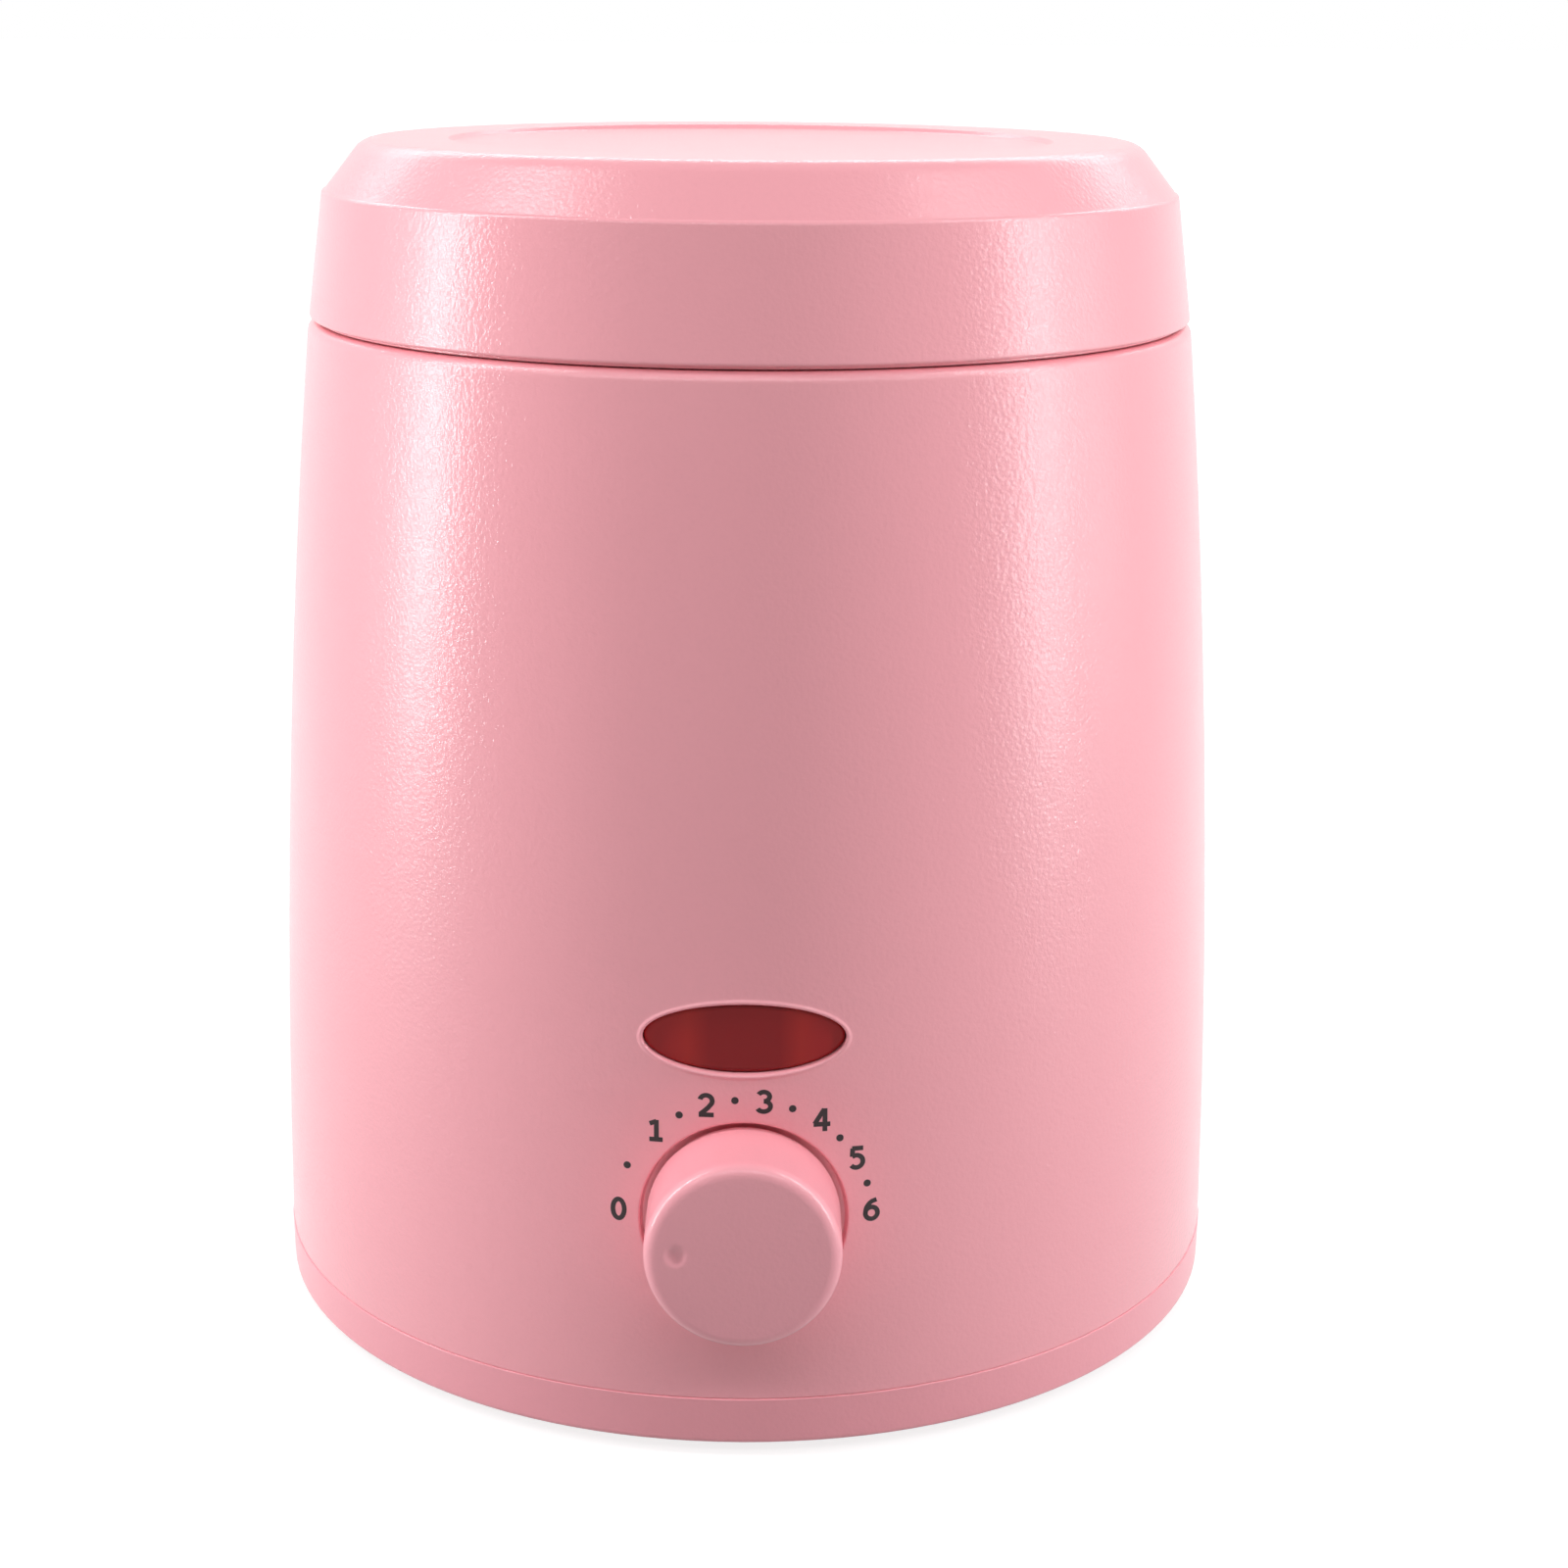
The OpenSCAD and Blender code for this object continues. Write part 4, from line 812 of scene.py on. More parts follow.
    def _ports(self) -> list[tuple[float, float, Array, Port]]:
        """The three holes.

        Returns:
            For each the lower and upper edge and the columns of the block that it takes, and the hole itself.
        """
        in_front, beside, behind = self.columns
        front, back = np.arange(in_front), np.arange(behind) + in_front + beside
        t, r, floor, boss = WALL.thick, self.pocket_d / 2, self.pocket_y, self.boss_y
        hole, flange = self.shaft_hole_d / 2 - r, self.boss_d / 2 - r
        dial = Port(Opening(self.pocket_d, self.pocket_d, DIAL_Z), -1, lip(0.3) + [
            (0.0, None, floor + 0.45), (-0.06, None, floor + 0.2), (-0.25, None, floor), (-0.6, None, floor),
            (hole + 0.5, None, floor), (hole + 0.2, None, floor), (hole, None, floor - 0.2),
            (hole, None, boss + 0.2), (hole + 0.2, None, boss), (hole + 0.5, None, boss),
            (flange - 0.5, None, boss), (flange, None, boss), (flange, t, None), (flange + 0.2, t, None)])
        window = Port(WINDOW, -1, bead(0.7, 0.14) + [
            (0.0, 0.9, None), (0.0, t - 0.3, None), (0.2, t, None), (0.5, t, None)], (19.0, 7.5))
        hole, seat, boss = self.seat_hole, self.seat_y, self.seat_back_y
        gland = Port(Opening(self.seat_d, self.seat_d, GLAND_Z), 1, lip(0.25) + [
            (0.0, None, seat), (-0.3, None, seat), (hole + 0.3, None, seat), (hole, None, seat - 0.2),
            (hole, None, boss + 0.2), (hole + 0.2, None, boss), (0.5, None, boss), (0.8, None, boss), (0.8, t, None)])
        (low, below, _), (_, above, _), (_, high, _) = self.bands
        return [(below, above, front, dial), (above, high, front, window), (low, self.seat_block, back, gland)]

    def make(self) -> None:
        """Builds the wall, closes its ports, and adds the posts and webs inside."""
        outer_z, inner_z = self._levels(*self.outer_rows), self._levels(*self.inner_rows)[::-1]
        section, outer_row, inner_row = self._profile(outer_z, inner_z)
        net = self._net(section)
        keep = np.ones(net.shape[:2], bool)
        skin = Skin()
        for low, high, columns, port in self._ports():
            skin.add(self._cut(net, keep, [(outer_z, outer_row), (inner_z, inner_row)], low, high, columns, port))
        skin.add(net, True, keep)
        web = block((0, -1, 10.5), (WALL.radius(33) - 1.2 - BASE_SCREWS.radius, 1, 32.5))
        skin.add_ring(self.base_post.net(), BASE_SCREWS).add_ring(web, BASE_SCREWS)
        skin.add_ring(self.well_post.net(), WELL_SCREWS)
        for x in (-self.lamp_post_x, self.lamp_post_x):
            skin.add(facing_front(moved(self.lamp_post.net(), x), WINDOW.z))
        place(skin.make("housing_shell"), SHELL, "base", "housing_plastic", "housing")


# ---- dial, window and lens

@dataclass
class Dial:
    """The turning knob and the numbers printed round it."""
    face_y: float = 66.88
    back_y: float = 56.1
    crown: float = 0.3
    face_r: float = 10.45
    edge_r: float = 8.9
    edge_fillet: float = 1.4
    cup_r: float = 8.85
    cup_deep: float = 2.2
    hub_r: float = 5.2
    hub_back: float = 1.0
    bore_r: float = 3.08
    dimple_at: float = 177.0
    dimple_out: float = 7.05
    dimple_wide: float = 1.4
    dimple_deep: float = 0.42
    scale_r: float = 13.8
    digits_at: tuple[tuple[float, float], ...] = (
        (177, 13.5), (133, 13.85), (107, 13.8), (81, 13.8), (54, 14.1), (29.3, 13.9), (3, 13.8))
    dots_at: tuple[float, ...] = (155, 120, 94, 68, 42, 16)
    dot_d: float = 0.8
    stroke: float = 0.52
    ink_out: float = -0.012
    ink_in: float = 0.06

    def knob(self) -> None:
        """The knob: a turned cup with a hub, and a soft dimple pressed into its low dome of a face.

        At the radius r the face lies crown (r / R)^2 behind its middle. In the dimple it drops by
        deep (1 - (d / w)^2)^2 more, w the dimple's radius, d the distance from its middle.
        """
        front, back = self.face_y, self.back_y
        inside, hub = front - self.cup_deep, back + self.hub_back
        out = np.concatenate([[0, 1.2, 2.5, 3.8, 5.0], np.linspace(5.8, 8.4, 20), [8.6]])
        face = np.stack([out, front - self.crown * (out / self.face_r) ** 2], 1)
        edge = rounded([(self.edge_r, front - self.crown * (self.edge_r / self.face_r) ** 2),
                        (self.face_r, front - self.crown, self.edge_fillet), (self.face_r, back, 0.25),
                        (self.cup_r, back, 0.25), (self.cup_r, inside, 0.8), (self.hub_r, inside, 0.4),
                        (self.hub_r, hub, 0.2), (self.bore_r, hub, 0.2), (self.bore_r, inside), (0, inside)])
        net = turned(np.concatenate([face, edge]), 256)
        x, y = polar(self.dimple_out, self.dimple_at)
        pressed = np.maximum(1 - (np.hypot(net[..., 0] - x, net[..., 1] - y) / self.dimple_wide) ** 2, 0)
        net[:len(face), :, 2] -= self.dimple_deep * pressed[:len(face)] ** 2
        skin = Skin().add(facing_front(net, DIAL_Z))
        place(skin.make("dial_knob", 40), DIAL_PINK, "dial", "knob_plastic", "knob")

    def _ribbon(self, path: Array, x: float, z: float) -> Array:
        """A printed stroke: the path widened by half a stroke each way, on the wall, with its ends drawn together.

        Args:
            path: points (x, z) of the stroke's middle, closed where the first is also the last.
            x: the digit's middle.
            z: the digit's middle.
        Returns:
            The net of its section, four points per row.
        """
        loop = np.allclose(path[0], path[-1])
        way = np.gradient(path, axis=0)
        if loop:
            way[0] = way[-1] = path[1] - path[-2]
        way /= np.linalg.norm(way, axis=1)[:, None]
        across = np.stack([-way[:, 1], way[:, 0]], 1) * self.stroke / 2
        corners = (across, self.ink_out), (-across, self.ink_out), (-across, self.ink_in), (across, self.ink_in)
        net = np.stack([WALL.points(*(path + (x, z) + edge).T, inset) for edge, inset in corners], 1)
        if loop:
            return net
        ends = [np.repeat(net[i].mean(0)[None], 4, 0)[None] for i in (0, -1)]
        return np.concatenate([ends[0], net, ends[1]])

    @staticmethod
    def _oval(x: float, z: float, a: float, b: float, start: float = 0, end: float = 360) -> Array:
        """Points of an ellipse's arc, from one angle to another."""
        t = np.radians(np.linspace(start, end, 41))
        return np.stack([x + a * np.cos(t), z + b * np.sin(t)], 1)

    @staticmethod
    def _line(*knots: Corner) -> Array:
        """A stroke through knots, straight where there are two."""
        return smooth_path(list(knots), 2 + 7 * (len(knots) - 1))

    def _strokes(self) -> list[list[Array]]:
        """The strokes of the digits 0 to 6, about 2.7 high.

        Returns:
            The paths of each digit, about its own middle.
        """
        line, oval = self._line, self._oval
        return [
            [oval(0, 0, 0.62, 1.1)],
            [line((0.1, 1.1), (0.1, -1.1)), line((0.12, 0.96), (-0.62, 0.66)), line((-0.66, -1.1), (0.78, -1.1))],
            [np.concatenate([oval(0.0, 0.46, 0.66, 0.64, 165, -25),
                             smooth_path([(0.56, 0.14), (0.12, -0.38), (-0.62, -1.02)], 12)[1:]]),
             line((-0.78, -1.1), (0.82, -1.1))],
            [oval(-0.06, 0.58, 0.62, 0.52, 152, -90), oval(-0.06, -0.52, 0.72, 0.58, 90, -154)],
            [line((0.26, 1.2), (-0.76, -0.44)), line((-0.86, -0.5), (0.92, -0.5)), line((0.34, 1.28), (0.34, -1.3))],
            [line((-0.54, 1.1), (0.66, 1.1)), line((-0.46, 1.1), (-0.52, 0.16)),
             np.concatenate([[[-0.52, 0.16]], oval(-0.06, -0.4, 0.7, 0.7, 112, -142)])],
            [oval(0.0, -0.42, 0.66, 0.68), line((0.54, 1.1), (-0.08, 0.86), (-0.54, 0.26), (-0.66, -0.42))],
        ]

    def scale(self) -> None:
        """The printed numbers and the dots between them."""
        skin = Skin()
        for (angle, out), digit in zip(self.digits_at, self._strokes()):
            x, z = polar(out, angle)
            for path in digit:
                skin.add(self._ribbon(path, x, DIAL_Z + z))
        t = np.linspace(0, 2 * np.pi, 24, endpoint=False)
        rings = (0, self.ink_out), (self.dot_d / 2, self.ink_out), (self.dot_d / 2, self.ink_in), (0, self.ink_in)
        for angle in self.dots_at:
            x, z = polar(self.scale_r, angle)
            skin.add(np.stack([WALL.points(x + r * np.cos(t), DIAL_Z + z + r * np.sin(t), inset)
                               for r, inset in rings]))
        place(skin.make("dial_scale_print"), INK, "base", None)

    def make(self) -> None:
        """Builds the knob and its scale."""
        self.knob()
        self.scale()


@dataclass
class Lens:
    """The red lens that fills the window, with the flange that holds it behind the wall."""
    gap: float = 0.12
    front: float = 0.5
    crown: float = 0.12
    flange: float = 2.65
    flange_in: float = 2.55
    back_in: float = 3.75

    def make(self) -> None:
        """Rings of ellipses on the wall's own curve, from the middle of the front round to the middle of the back."""
        t = np.linspace(0, 2 * np.pi, 144, endpoint=False)
        a, b = WINDOW.width / 2 - self.gap, WINDOW.height / 2 - self.gap
        f, g, front, back = self.front, self.flange, self.flange_in, self.back_in
        rings = [(s, 0.0, f - self.crown * (1 - s**2)) for s in np.linspace(0, 0.94, 12)]
        rings += [(1, -0.18, f + 0.01), (1, -0.07, f + 0.06), (1, 0, f + 0.2), (1, 0, front - 0.15), (1, 0.15, front),
                  (1, g - 0.2, front), (1, g, front + 0.15), (1, g, back - 0.15), (1, g - 0.15, back), (0.5, 0, back),
                  (0, 0, back)]
        net = np.stack([WALL.points((a * share + growth) * np.cos(t), WINDOW.z + (b * share + growth) * np.sin(t),
                                    inset) for share, growth, inset in rings])
        place(Skin().add(net).make("window_lens"), LensFinish(), "base", "lens_red", "indicator_lens")


# ---- lid

@dataclass
class Lid:
    """The lid: a shallow cup with a sloped shoulder, a ring on top and a round recess, and its centring skirt."""
    top_z: float = 138.5
    top_r: float = 44.8
    recess_z: float = 138.0
    recess_r: float = 34.5
    slope_end: Corner = (49.24, 132.88, 0.2)
    edge: Corner = (49.59, 132.75, 0.5)
    foot_r: float = 51.5
    foot_z: float = 118.6
    step_r: float = 50.6
    seat_z: float = 118.25
    skirt_r: float = 48.7
    skirt_in: float = 47.1
    skirt_z: float = 115.1
    ceiling_z: float = 136.1
    boss_z: float = 135.6

    def make(self) -> None:
        """Turns the lid's section."""
        section = rounded([
            (0, self.recess_z), (self.recess_r, self.recess_z, 0.4), (self.recess_r + 0.5, self.top_z, 0.3),
            (self.top_r, self.top_z, 3), self.slope_end, self.edge, (self.foot_r, self.foot_z, 0.35),
            (self.step_r, self.foot_z, 0.1), (self.step_r, self.seat_z, 0.1), (self.skirt_r, self.seat_z),
            (self.skirt_r, self.skirt_z, 0.4), (self.skirt_in, self.skirt_z, 0.4), (self.skirt_in, 121), (49.1, 121),
            (47.2, 132.1, 1), (43.8, self.ceiling_z, 1), (37.9, self.ceiling_z, 0.4), (36.5, self.boss_z, 0.4),
            (0, self.boss_z)], 9)
        floor = np.stack([np.linspace(0, 33, 12)[:-1], np.full(11, self.recess_z)], 1)
        skin = Skin().add(turned(np.concatenate([floor, section[1:]]), 288))
        place(skin.make("lid_shell"), LID_PINK, "lid", "lid_plastic", "lid")


# ---- screws

@dataclass(frozen=True)
class PanScrew:
    """A pan-head screw with a cross recess and a rolled thread, pointing down with its head's seat at z = 0."""
    head_d: float
    head_h: float
    shank_d: float
    length: float
    pitch: float = 1.2
    dome: float = 0.16
    cross_deep: float = 0.52
    thread_deep: float = 0.16

    def nets(self) -> list[Array]:
        """The head and the shank.

        The head's top is a flat dome, h (1 - dome (r / R)^4), pressed in by a cross whose arms run out at 0.56 R. The
        shank's radius falls by a share that swings with the angle and the depth: a thread.

        Returns:
            One net for the head, and one for the shank.
        """
        big, tall = self.head_d / 2, self.head_h
        top = np.linspace(0, 0.78, 22)
        r = np.concatenate([top, [0.86, 0.93, 0.975, 1.0, 1.0, 0.98, 0.0]]) * big
        z = np.concatenate([tall * (1 - self.dome * top ** 4), tall * np.array([0.89, 0.80, 0.68, 0.5, 0.1, 0, 0])])
        head = turned(np.stack([r, z], 1), 96)
        x, y = np.abs(head[..., 0]), np.abs(head[..., 1])
        far, near = np.maximum(x, y) / big, np.minimum(x, y) / big
        arm = np.clip((0.13 * (1 - 0.25 * far) - near) / 0.05 + 0.5, 0, 1) * np.clip((0.56 - far) / 0.22, 0, 1)
        head[:len(top), :, 2] -= (arm * tall * self.cross_deep)[:len(top)]
        down = np.linspace(0, 1, max(12, int(self.length / self.pitch * 8)))
        taper = np.clip((1 - down) / 0.12, 0, 1) ** 0.5
        shank = turned(np.stack([self.shank_d / 2 * taper, -self.length * down], 1), 32)
        t = np.arctan2(shank[..., 1], shank[..., 0])
        wave = np.abs(((shank[..., 2] / self.pitch + t / (2 * np.pi)) % 1) * 2 - 1)
        shank[..., :2] *= (1 - self.thread_deep * wave * np.clip(-shank[..., 2], 0, 1))[..., None]
        return [head, np.concatenate([shank[:1] * (0, 0, 1), shank])]


# ---- well, pot and bail

@dataclass
class HeatedWell:
    """The aluminium well that carries the pot, with its flange, its screws and the posts under its floor."""
    floor_z: float = 57.0
    floor_t: float = 2.0
    bowl_r: float = 37.8
    inner_r: float = 36.6
    flange_r: float = 46.6
    flange_z: float = 116.1
    flange_top: float = 117.3
    heater_posts: tuple[Corner, ...] = ((-28, 0), (28, 0), (-7, -24.6), (7, -24.6))
    fuse_post: Corner = (4, 29.5)

    def _post(self, radius: float, height: float) -> Array:
        """A tapped post that stands down from the well's floor."""
        return Post(radius, self.floor_z - height, self.floor_z + 0.5, 1.5, self.floor_z + 0.2, (0.2, 0.4, 0)).net()

    def well(self) -> None:
        """The turned well, and the tapped posts that stand down from its floor."""
        inside = self.floor_z + self.floor_t
        section = rounded([(0, self.floor_z), (self.bowl_r, self.floor_z, 5.2), (self.bowl_r, self.flange_z, 0.6),
                           (self.flange_r, self.flange_z, 0.2), (self.flange_r, self.flange_top, 0.5),
                           (self.inner_r, self.flange_top, 0.9), (self.inner_r, inside, 4), (0, inside)])
        skin = Skin().add(turned(section))
        for x, y in self.heater_posts:
            skin.add(moved(self._post(3.5, 6.5), x, y))
        skin.add(moved(self._post(3.0, 5.6), *self.fuse_post))
        place(skin.make("heating_well_bowl"), WELL_ALUMINIUM, "base", "well_aluminium", "heating_well")

    def screws(self) -> None:
        """The three screws through the well's flange."""
        skin = Skin()
        for net in PanScrew(5.6, 2.0, 2.9, 12).nets():
            skin.add_ring(net, WELL_SCREWS, self.flange_top)
        place(skin.make("well_flange_screws"), SCREW_STEEL, "base", "screw_steel", "well_screws")

    def make(self) -> None:
        """Builds the well and its screws."""
        self.well()
        self.screws()


@dataclass
class WaxPot:
    """The lift-out pot with its rolled bead, its two ears and the wire bail that swings in them."""
    floor_z: float = 59.0
    floor_t: float = 0.9
    side_r: float = 36.0
    inner_r: float = 35.1
    rim_r: float = 38.7
    rim_z: float = 117.7
    rim_top: float = 118.6
    bead_r: float = 1.1
    ears: Ring = Ring(35.5, (0, 180))
    ear_r: float = 4.0
    ear_foot: float = 4.5
    ear_half: float = 0.5
    ear_hole_r: float = 1.3
    pivot_z: float = 123.1
    droop: float = 2.8192
    wire_r: float = 1.2
    wire_end: float = 0.3
    arc_r: float = 38.6
    bend_r: float = 2.2
    bend_x: float = 36.334
    bend_angle: float = 3.465
    pin_x: float = 34.1

    def pot(self) -> None:
        """The spun pot: its section turned, and the bead's ring."""
        inside = self.floor_z + self.floor_t
        section = rounded([(0, self.floor_z), (self.side_r, self.floor_z, 4), (self.side_r, self.rim_z, 0.6),
                           (self.rim_r, self.rim_z), (self.rim_r, self.rim_top), (self.inner_r, self.rim_top, 0.8),
                           (self.inner_r, inside, 3.1), (0, inside)])
        a = np.radians(np.linspace(0, 360, 25))
        bead_z = self.rim_z + self.bead_r
        ring = np.stack([self.rim_r + self.bead_r * np.cos(a), bead_z + self.bead_r * np.sin(a)], 1)
        skin = Skin().add(turned(section)).add(turned(ring))
        place(skin.make("wax_pot_bowl"), ALUMINIUM, "pot", "pot_aluminium", "wax_pot")

    def ear_plates(self) -> None:
        """The two ears: plates with a round top and a hole for the bail's pin, each on a turned-out foot.

        The outline about the hole is at ear_r above its middle, and below it at the less of ear_r / |cos t| and
        ear_foot / |sin t|.
        """
        t = np.radians(np.arange(0, 360, 4))
        low = np.minimum(self.ear_r / np.maximum(np.abs(np.cos(t)), 1e-3),
                         self.ear_foot / np.maximum(np.abs(np.sin(t)), 1e-3))
        outline, hole = np.where(np.sin(t) >= 0, self.ear_r, low), np.full(len(t), self.ear_hole_r)
        side, edge = self.ear_half, self.ear_half - 0.15
        rings = [(outline - 0.15, -side), (outline, -edge), (outline, edge), (outline - 0.15, side),
                 (hole + 0.15, side), (hole, edge), (hole, -edge), (hole + 0.15, -side)]
        plate = np.stack([np.stack([np.full(len(t), x), r * np.cos(t), r * np.sin(t)], -1) for r, x in rings])
        foot = block((-side, -self.ear_r, self.rim_top), (side + 0.7, self.ear_r, self.rim_top + 0.8), 0.25)
        skin = Skin().add_ring(plate, self.ears, self.pivot_z, True).add_ring(foot, self.ears)
        place(skin.make("pot_ear_plates"), SHEET_STEEL, "pot", "ear_steel", "pot_ears")

    def bail(self) -> None:
        """The bail: one wire, a round section carried along pin, bend, half circle, bend and pin.

        A point of the section at angle a is centre + r (cos a n + sin a z), n the path's normal in the bail's plane,
        and the whole is turned about the pins by the droop.
        """
        pin = np.stack([np.linspace(self.pin_x + self.wire_end, self.bend_x, 5), np.zeros(5)], 1)
        b = np.radians(np.linspace(-90, self.bend_angle, 15))
        bend = np.stack([self.bend_x + self.bend_r * np.cos(b), self.bend_r + self.bend_r * np.sin(b)], 1)
        c = np.radians(np.linspace(self.bend_angle, 90, 61))
        arc = self.arc_r * np.stack([np.cos(c), np.sin(c)], 1)
        half = np.concatenate([pin, bend[1:], arc[1:]])
        path = np.concatenate([half, (half * (-1, 1))[-2::-1]])
        way = np.gradient(path, axis=0)
        way /= np.linalg.norm(way, axis=1)[:, None]
        normal = np.stack([way[:, 1], -way[:, 0], 0 * way[:, 0]], 1)
        path, back = (np.column_stack([flat, np.zeros(len(path))]) for flat in (path, way))
        ends = np.radians(np.array([90, 60, 30]))
        starts = [path[0] - back[0] * self.wire_end * math.sin(q) for q in ends]
        stops = [path[-1] + back[-1] * self.wire_end * math.sin(q) for q in ends[::-1]]
        centres = np.concatenate([starts[:1], starts, path, stops, stops[-1:]])
        tips = self.wire_r - self.wire_end * (1 - np.cos(ends))
        sizes = np.concatenate([[0], tips, np.full(len(path), self.wire_r), tips[::-1], [0]])
        normals = np.concatenate([np.repeat(normal[:1], 4, 0), normal, np.repeat(normal[-1:], 4, 0)])
        a = np.linspace(0, 2 * np.pi, 28, endpoint=False)[None, :, None]
        net = centres[:, None] + sizes[:, None, None] * (np.cos(a) * normals[:, None] + np.sin(a) * (0, 0, 1))
        c, s = polar(1.0, -self.droop)
        net = moved(net @ np.array([[1, 0, 0], [0, c, s], [0, -s, c]]), z=self.pivot_z)
        place(Skin().add(net).make("bail_wire"), WIRE_STEEL, "bail", "bail_steel", "pot_bail")

    def make(self) -> None:
        """Builds the pot, its ears and its bail."""
        self.pot()
        self.ear_plates()
        self.bail()


# ---- base and cord entry

@dataclass
class Underside:
    """The rubber feet, the base screws and the cord's gland."""
    foot_places: Ring = Ring(45.97, (0, 90, 180, 270))
    foot_r: float = 6.0
    foot_h: float = 2.5
    screw_seat: float = 5.5
    bore_r: float = 3.2
    bush_r: float = 5.0
    bush_in: float = 3.7
    bush_y: float = 50.8
    flange_r: float = 7.8
    flange_y: float = 56.7
    nose_r: float = 5.4
    nose_y: float = 58.9
    nose_end: float = 66.9
    groove_y: float = 60.6
    groove_step: float = 1.35
    nose_taper: float = 0.1125

    def feet(self) -> None:
        """Four feet with a rounded edge and a shallow ring pressed into the sole."""
        section = rounded([(0, 0.35), (2.6, 0.35, 0.2), (3.0, 0.0, 0.2), (self.foot_r - 0.3, 0, 0.5),
                           (self.foot_r, 1.5, 0.1), (self.foot_r, self.foot_h, 0.2), (0, self.foot_h)])
        skin = Skin().add_ring(turned(section, 56), self.foot_places)
        place(skin.make("feet_pads"), FOOT_RUBBER, "base", "foot_rubber", "rubber_feet")

    def screws(self) -> None:
        """Four screws, head down, in the base cover's counterbores."""
        skin = Skin()
        for net in PanScrew(6.4, 2.2, 2.9, 14.5).nets():
            skin.add_ring(net * (1, 1, -1), BASE_SCREWS, self.screw_seat)
        place(skin.make("base_cover_screws"), SCREW_STEEL, "base", "screw_steel", "base_screws")

    def gland(self) -> None:
        """The gland: a flanged bush, turned about the cord's axis, with shallow grooves round its nose."""
        nose = []
        for y in self.groove_y + self.groove_step * np.arange(4):
            r = self.nose_r - self.nose_taper * (y - self.nose_y)
            nose += [(r, y), (r - 0.3, y + 0.15, 0.1), (r - 0.35, y + 0.6, 0.1), (r - 0.09, y + 0.75)]
        section = rounded([(self.bush_in, self.bush_y), (self.bush_r, self.bush_y, 0.4), (self.bush_r, self.flange_y),
                           (self.flange_r, self.flange_y), (self.flange_r, self.nose_y, 0.8),
                           (self.nose_r, self.nose_y), *nose, (4.5, self.nose_end, 0.6),
                           (self.bore_r, self.nose_end, 0.3), (self.bore_r, self.nose_y),
                           (self.bush_in, self.nose_y), (self.bush_in, self.bush_y)])
        place(Skin().add(facing_back(turned(section, 96), GLAND_Z)).make("cord_gland_bush"), GLAND_PLASTIC, "base",
              "gland_plastic", "cord_gland")

    def make(self) -> None:
        """Builds the feet, the screws and the gland."""
        self.feet()
        self.screws()
        self.gland()


@dataclass
class InnerWorks:
    """The CAD nodes that keep their own shape: the works inside the body, and the base cover."""

    def make(self) -> None:
        """Gives each CAD node that nothing replaces the finish of its material slot."""
        slots = {row["node"]: row["material_slot"] for row in frame["record"]["subparts"]}
        for name, node in frame["nodes"].items():
            if node.hide_render:
                continue
            finish = BY_SLOT[slots[name]]
            node.data.materials.clear()
            node.data.materials.append(finish.material())
            LOG.info("%s: %s", name, finish.name)


# ---- stage

@dataclass(frozen=True)
class Viewpoint:
    """The camera of the photograph, for a frame of 1600 by 1600 pixels. Its angles are in degrees."""
    place: Corner = (1.97, -327.4, 154.5)
    down: float = 16.04
    aside: float = 0.425
    roll: float = 0.45
    focal_px: float = 2800.0
    frame_px: float = 1600.0
    sensor: float = 36.0

    def make(self) -> None:
        """Adds the camera: it looks down and aside by its two angles, and is rolled about its own axis."""
        p, y, r = (math.radians(v) for v in (self.down, self.aside, self.roll))
        ahead = Vector((math.sin(y) * math.cos(p), math.cos(y) * math.cos(p), -math.sin(p)))
        right = Vector((math.cos(y), -math.sin(y), 0.0))
        up = right.cross(ahead)
        across = right * math.cos(r) + up * math.sin(r)
        upright = up * math.cos(r) - right * math.sin(r)
        data = bpy.data.cameras.new("camera")
        data.sensor_width, data.lens = self.sensor, self.sensor * self.focal_px / self.frame_px
        data.clip_start, data.clip_end = 0.01, 50.0
        camera = bpy.data.objects.new("camera", data)
        turn = Matrix((across, upright, -ahead)).transposed().to_4x4()
        camera.matrix_world = Matrix.Translation(Vector(self.place) * MM) @ turn
        bpy.context.scene.collection.objects.link(camera)
        bpy.context.scene.camera = camera


@dataclass(frozen=True)
class Softbox:
    """A soft lamp: a bright rectangle of a plain level, turned to the object."""
    name: str
    place: Corner
    size: tuple[float, float]
    level: float
    aim: Corner = (0.0, 0.0, 70.0)

    def make(self) -> None:
        """Adds the lamp. Its power is level x pi x area, which makes its face that bright."""
        data = bpy.data.lights.new(self.name, "AREA")
        data.shape = "RECTANGLE"
        data.size, data.size_y = self.size[0] * MM, self.size[1] * MM
        data.energy = self.level * math.pi * data.size * data.size_y
        lamp = bpy.data.objects.new(self.name, data)
        lamp.location = Vector(self.place) * MM
        lamp.rotation_euler = (Vector(self.aim) - Vector(self.place)).to_track_quat("-Z", "Y").to_euler()
        bpy.context.scene.collection.objects.link(lamp)


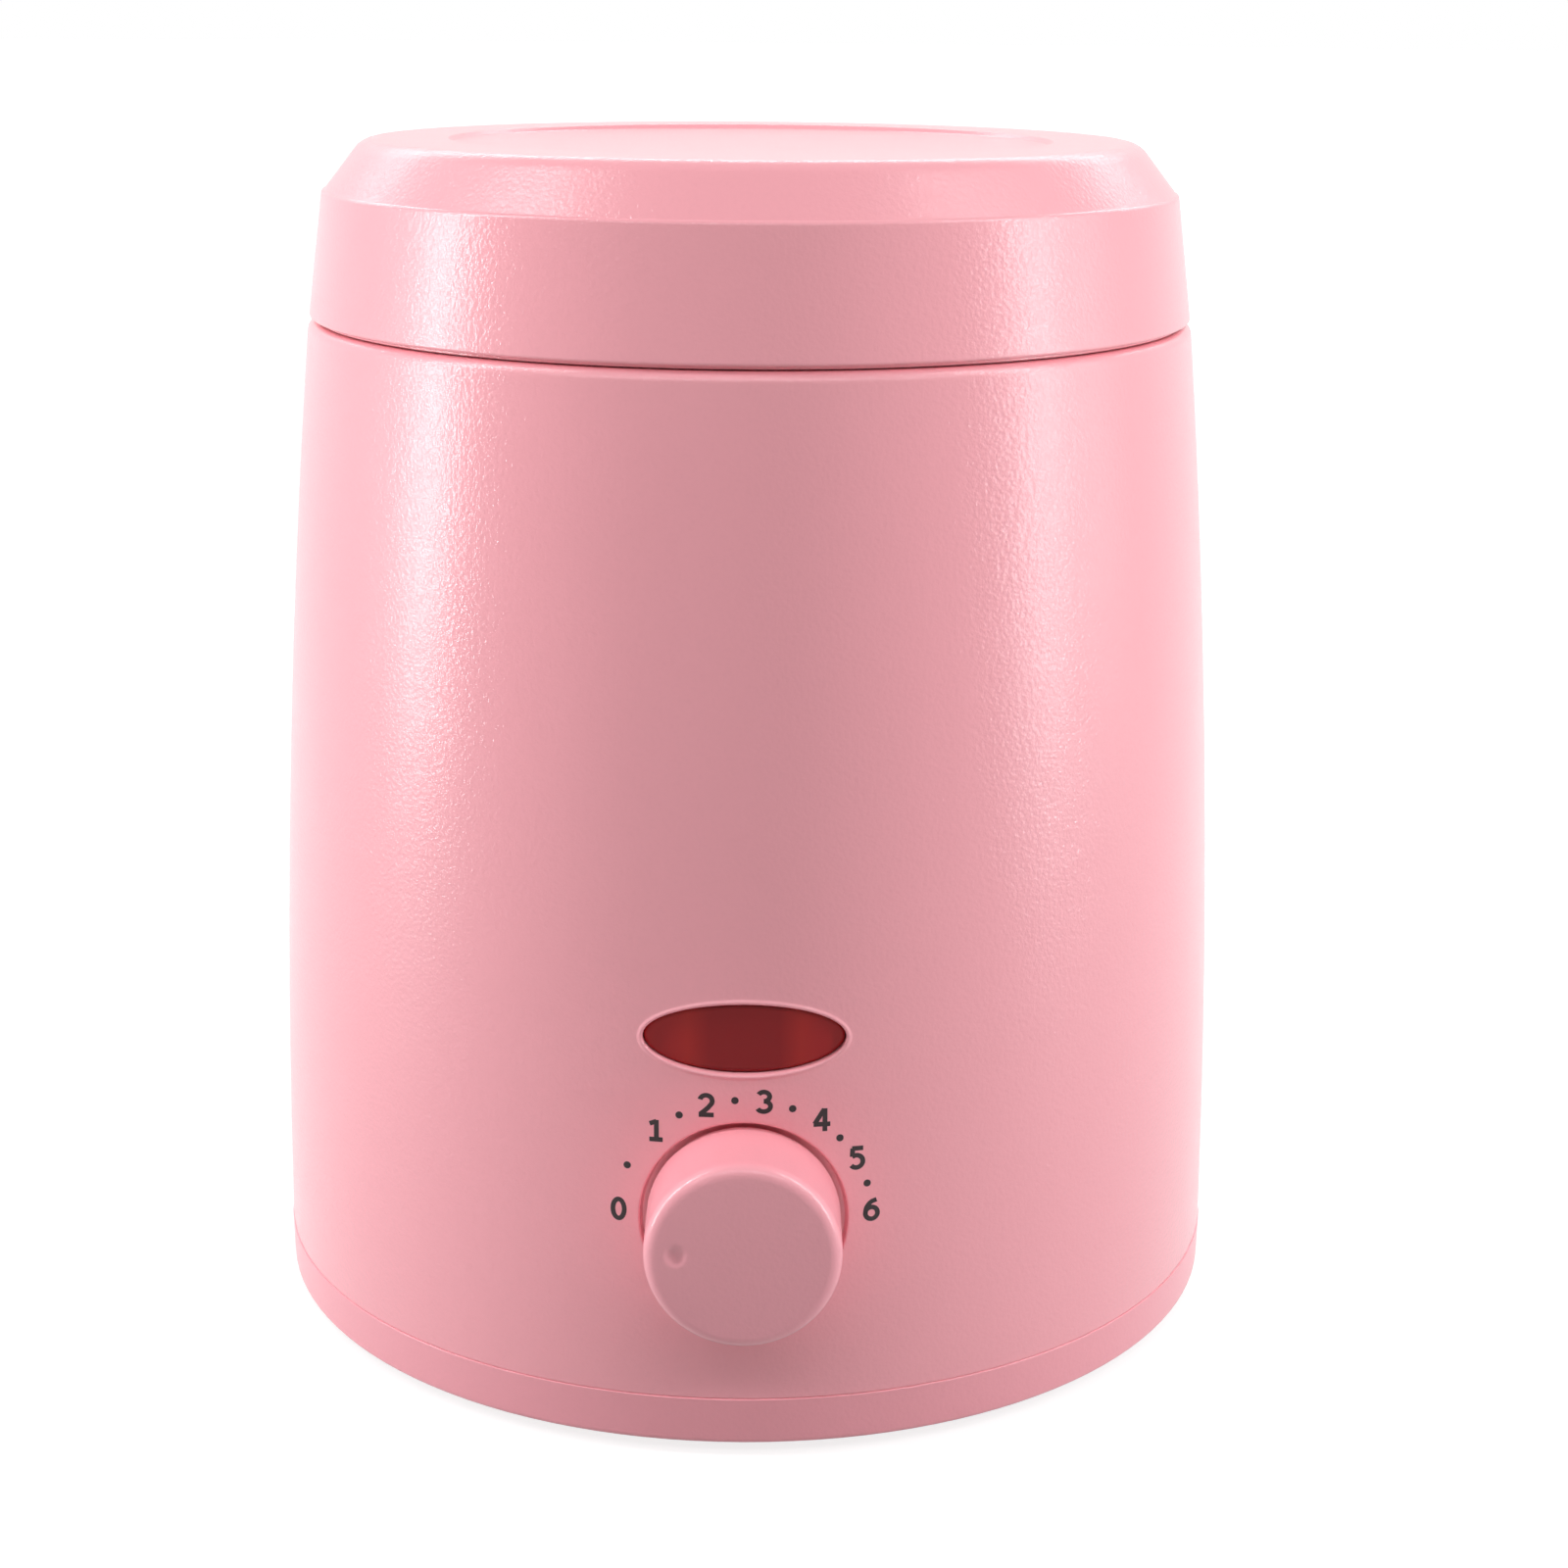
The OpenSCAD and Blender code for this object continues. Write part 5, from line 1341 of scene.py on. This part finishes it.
@dataclass
class Studio:
    """The pale table, the white room with a dimmer side towards the camera, and the lamps.

    The room's light grows over room_span of the direction's cosine with brighter_way, and the table's own glow over
    glow_span of the distance from the object.
    """
    room_levels: tuple[float, float] = (0.03, 0.25)
    room_span: tuple[float, float] = (-1.0, 0.25)
    brighter_way: Corner = (0.0, 1.0, 0.05)
    glow_levels: tuple[float, float] = (0.8, 0.97)
    glow_span: tuple[float, float] = (150.0, 1200.0)
    paper: float = 0.30
    paper_roughness: float = 0.7
    paper_radii: tuple[float, ...] = (0.0, 400.0, 1500.0, 4000.0, 9000.0)
    paper_z: float = -0.02
    boxes: tuple[Softbox, ...] = (
        Softbox("left_strip", (-450, -79, 460), (60, 906), 18.2, (0, 0, 460)),
        Softbox("right_strip", (450, -141, 450), (38, 886), 21.5, (0, 0, 450)),
        Softbox("left_panel", (-470, 50, 360), (93, 700), 1.15, (0, 0, 360)),
        Softbox("right_panel", (470, 3, 360), (84, 700), 2.9, (0, 0, 360)),
        Softbox("front_overhead", (0, -393, 408), (1000, 50), 6.6),
        Softbox("back_overhead", (0, 393, 408), (1000, 50), 6.6),
    )

    @staticmethod
    def _looks(nodes: Nodes) -> Socket | Node:
        """One for the rays that show the surroundings, from the camera, in gloss or through glass, and else zero.

        Args:
            nodes: the nodes of the world or the material.
        Returns:
            What gives that number.
        """
        path = nodes.add("LightPath")
        total: Socket | Node = path.outputs["Is Camera Ray"]
        for kind in ("Is Glossy Ray", "Is Transmission Ray"):
            total = nodes.add("Math", {0: total, 1: path.outputs[kind]}, operation="ADD", use_clamp=True)
        return total

    def room(self) -> None:
        """The world: its light grows from the front's level to that behind and above, and it looks white."""
        world = bpy.data.worlds.new("room")
        bpy.context.scene.world = world
        nodes = Nodes(world, "Generated")
        lit, seen = nodes.own("Background"), nodes.add("Background", {"Color": (1, 1, 1, 1)})
        toward = nodes.add("VectorMath", {0: nodes.space, 1: self.brighter_way}, operation="DOT_PRODUCT")
        level = nodes.between(toward, self.room_span, self.room_levels, interpolation_type="SMOOTHSTEP")
        nodes.feed(lit, {"Color": (1, 1, 1, 1), "Strength": level})
        mix = nodes.add("MixShader", {"Fac": self._looks(nodes), 1: lit, 2: seen})
        nodes.feed(nodes.own("World Output"), {"Surface": mix})

    def table(self) -> None:
        """The floor: a round white sheet, whose paint looks white and still takes the shadow."""
        rings = turned(np.array([(radius, self.paper_z) for radius in self.paper_radii]), 96)
        floor = Skin().add(rings).make("studio_floor")
        paint = bpy.data.materials.new("floor_paper")
        nodes = Nodes(paint)
        shader = nodes.own("Principled BSDF")
        nodes.feed(shader, {"Base Color": (*(self.paper,) * 3, 1.0), "Roughness": self.paper_roughness})
        near, far = self.glow_span
        reach = nodes.add("VectorMath", {0: nodes.space}, operation="LENGTH")
        glow = nodes.add("Emission", {"Strength": nodes.between(reach, (near * MM, far * MM), self.glow_levels)})
        nothing = nodes.add("Emission", {"Strength": 0.0})
        pick = nodes.add("MixShader", {"Fac": self._looks(nodes), 1: nothing, 2: glow})
        nodes.feed(nodes.own("Material Output"), {"Surface": nodes.add("AddShader", {0: shader, 1: pick})})
        floor.data.materials.append(paint)

    def make(self) -> None:
        """Builds the room, the table and the lamps, and sets the plain view transform."""
        self.room()
        self.table()
        for lamp in self.boxes:
            lamp.make()
        bpy.context.scene.view_settings.view_transform = "Standard"


def main() -> None:
    """Builds the warmer's pieces in order, and its stage."""
    logging.basicConfig(level=logging.INFO, format="%(message)s")
    Viewpoint().make()
    for part in (Housing(), Lid(), Dial(), Lens(), HeatedWell(), WaxPot(), Underside(), InnerWorks(), Studio()):
        part.make()


if __name__ == "__main__":
    main()
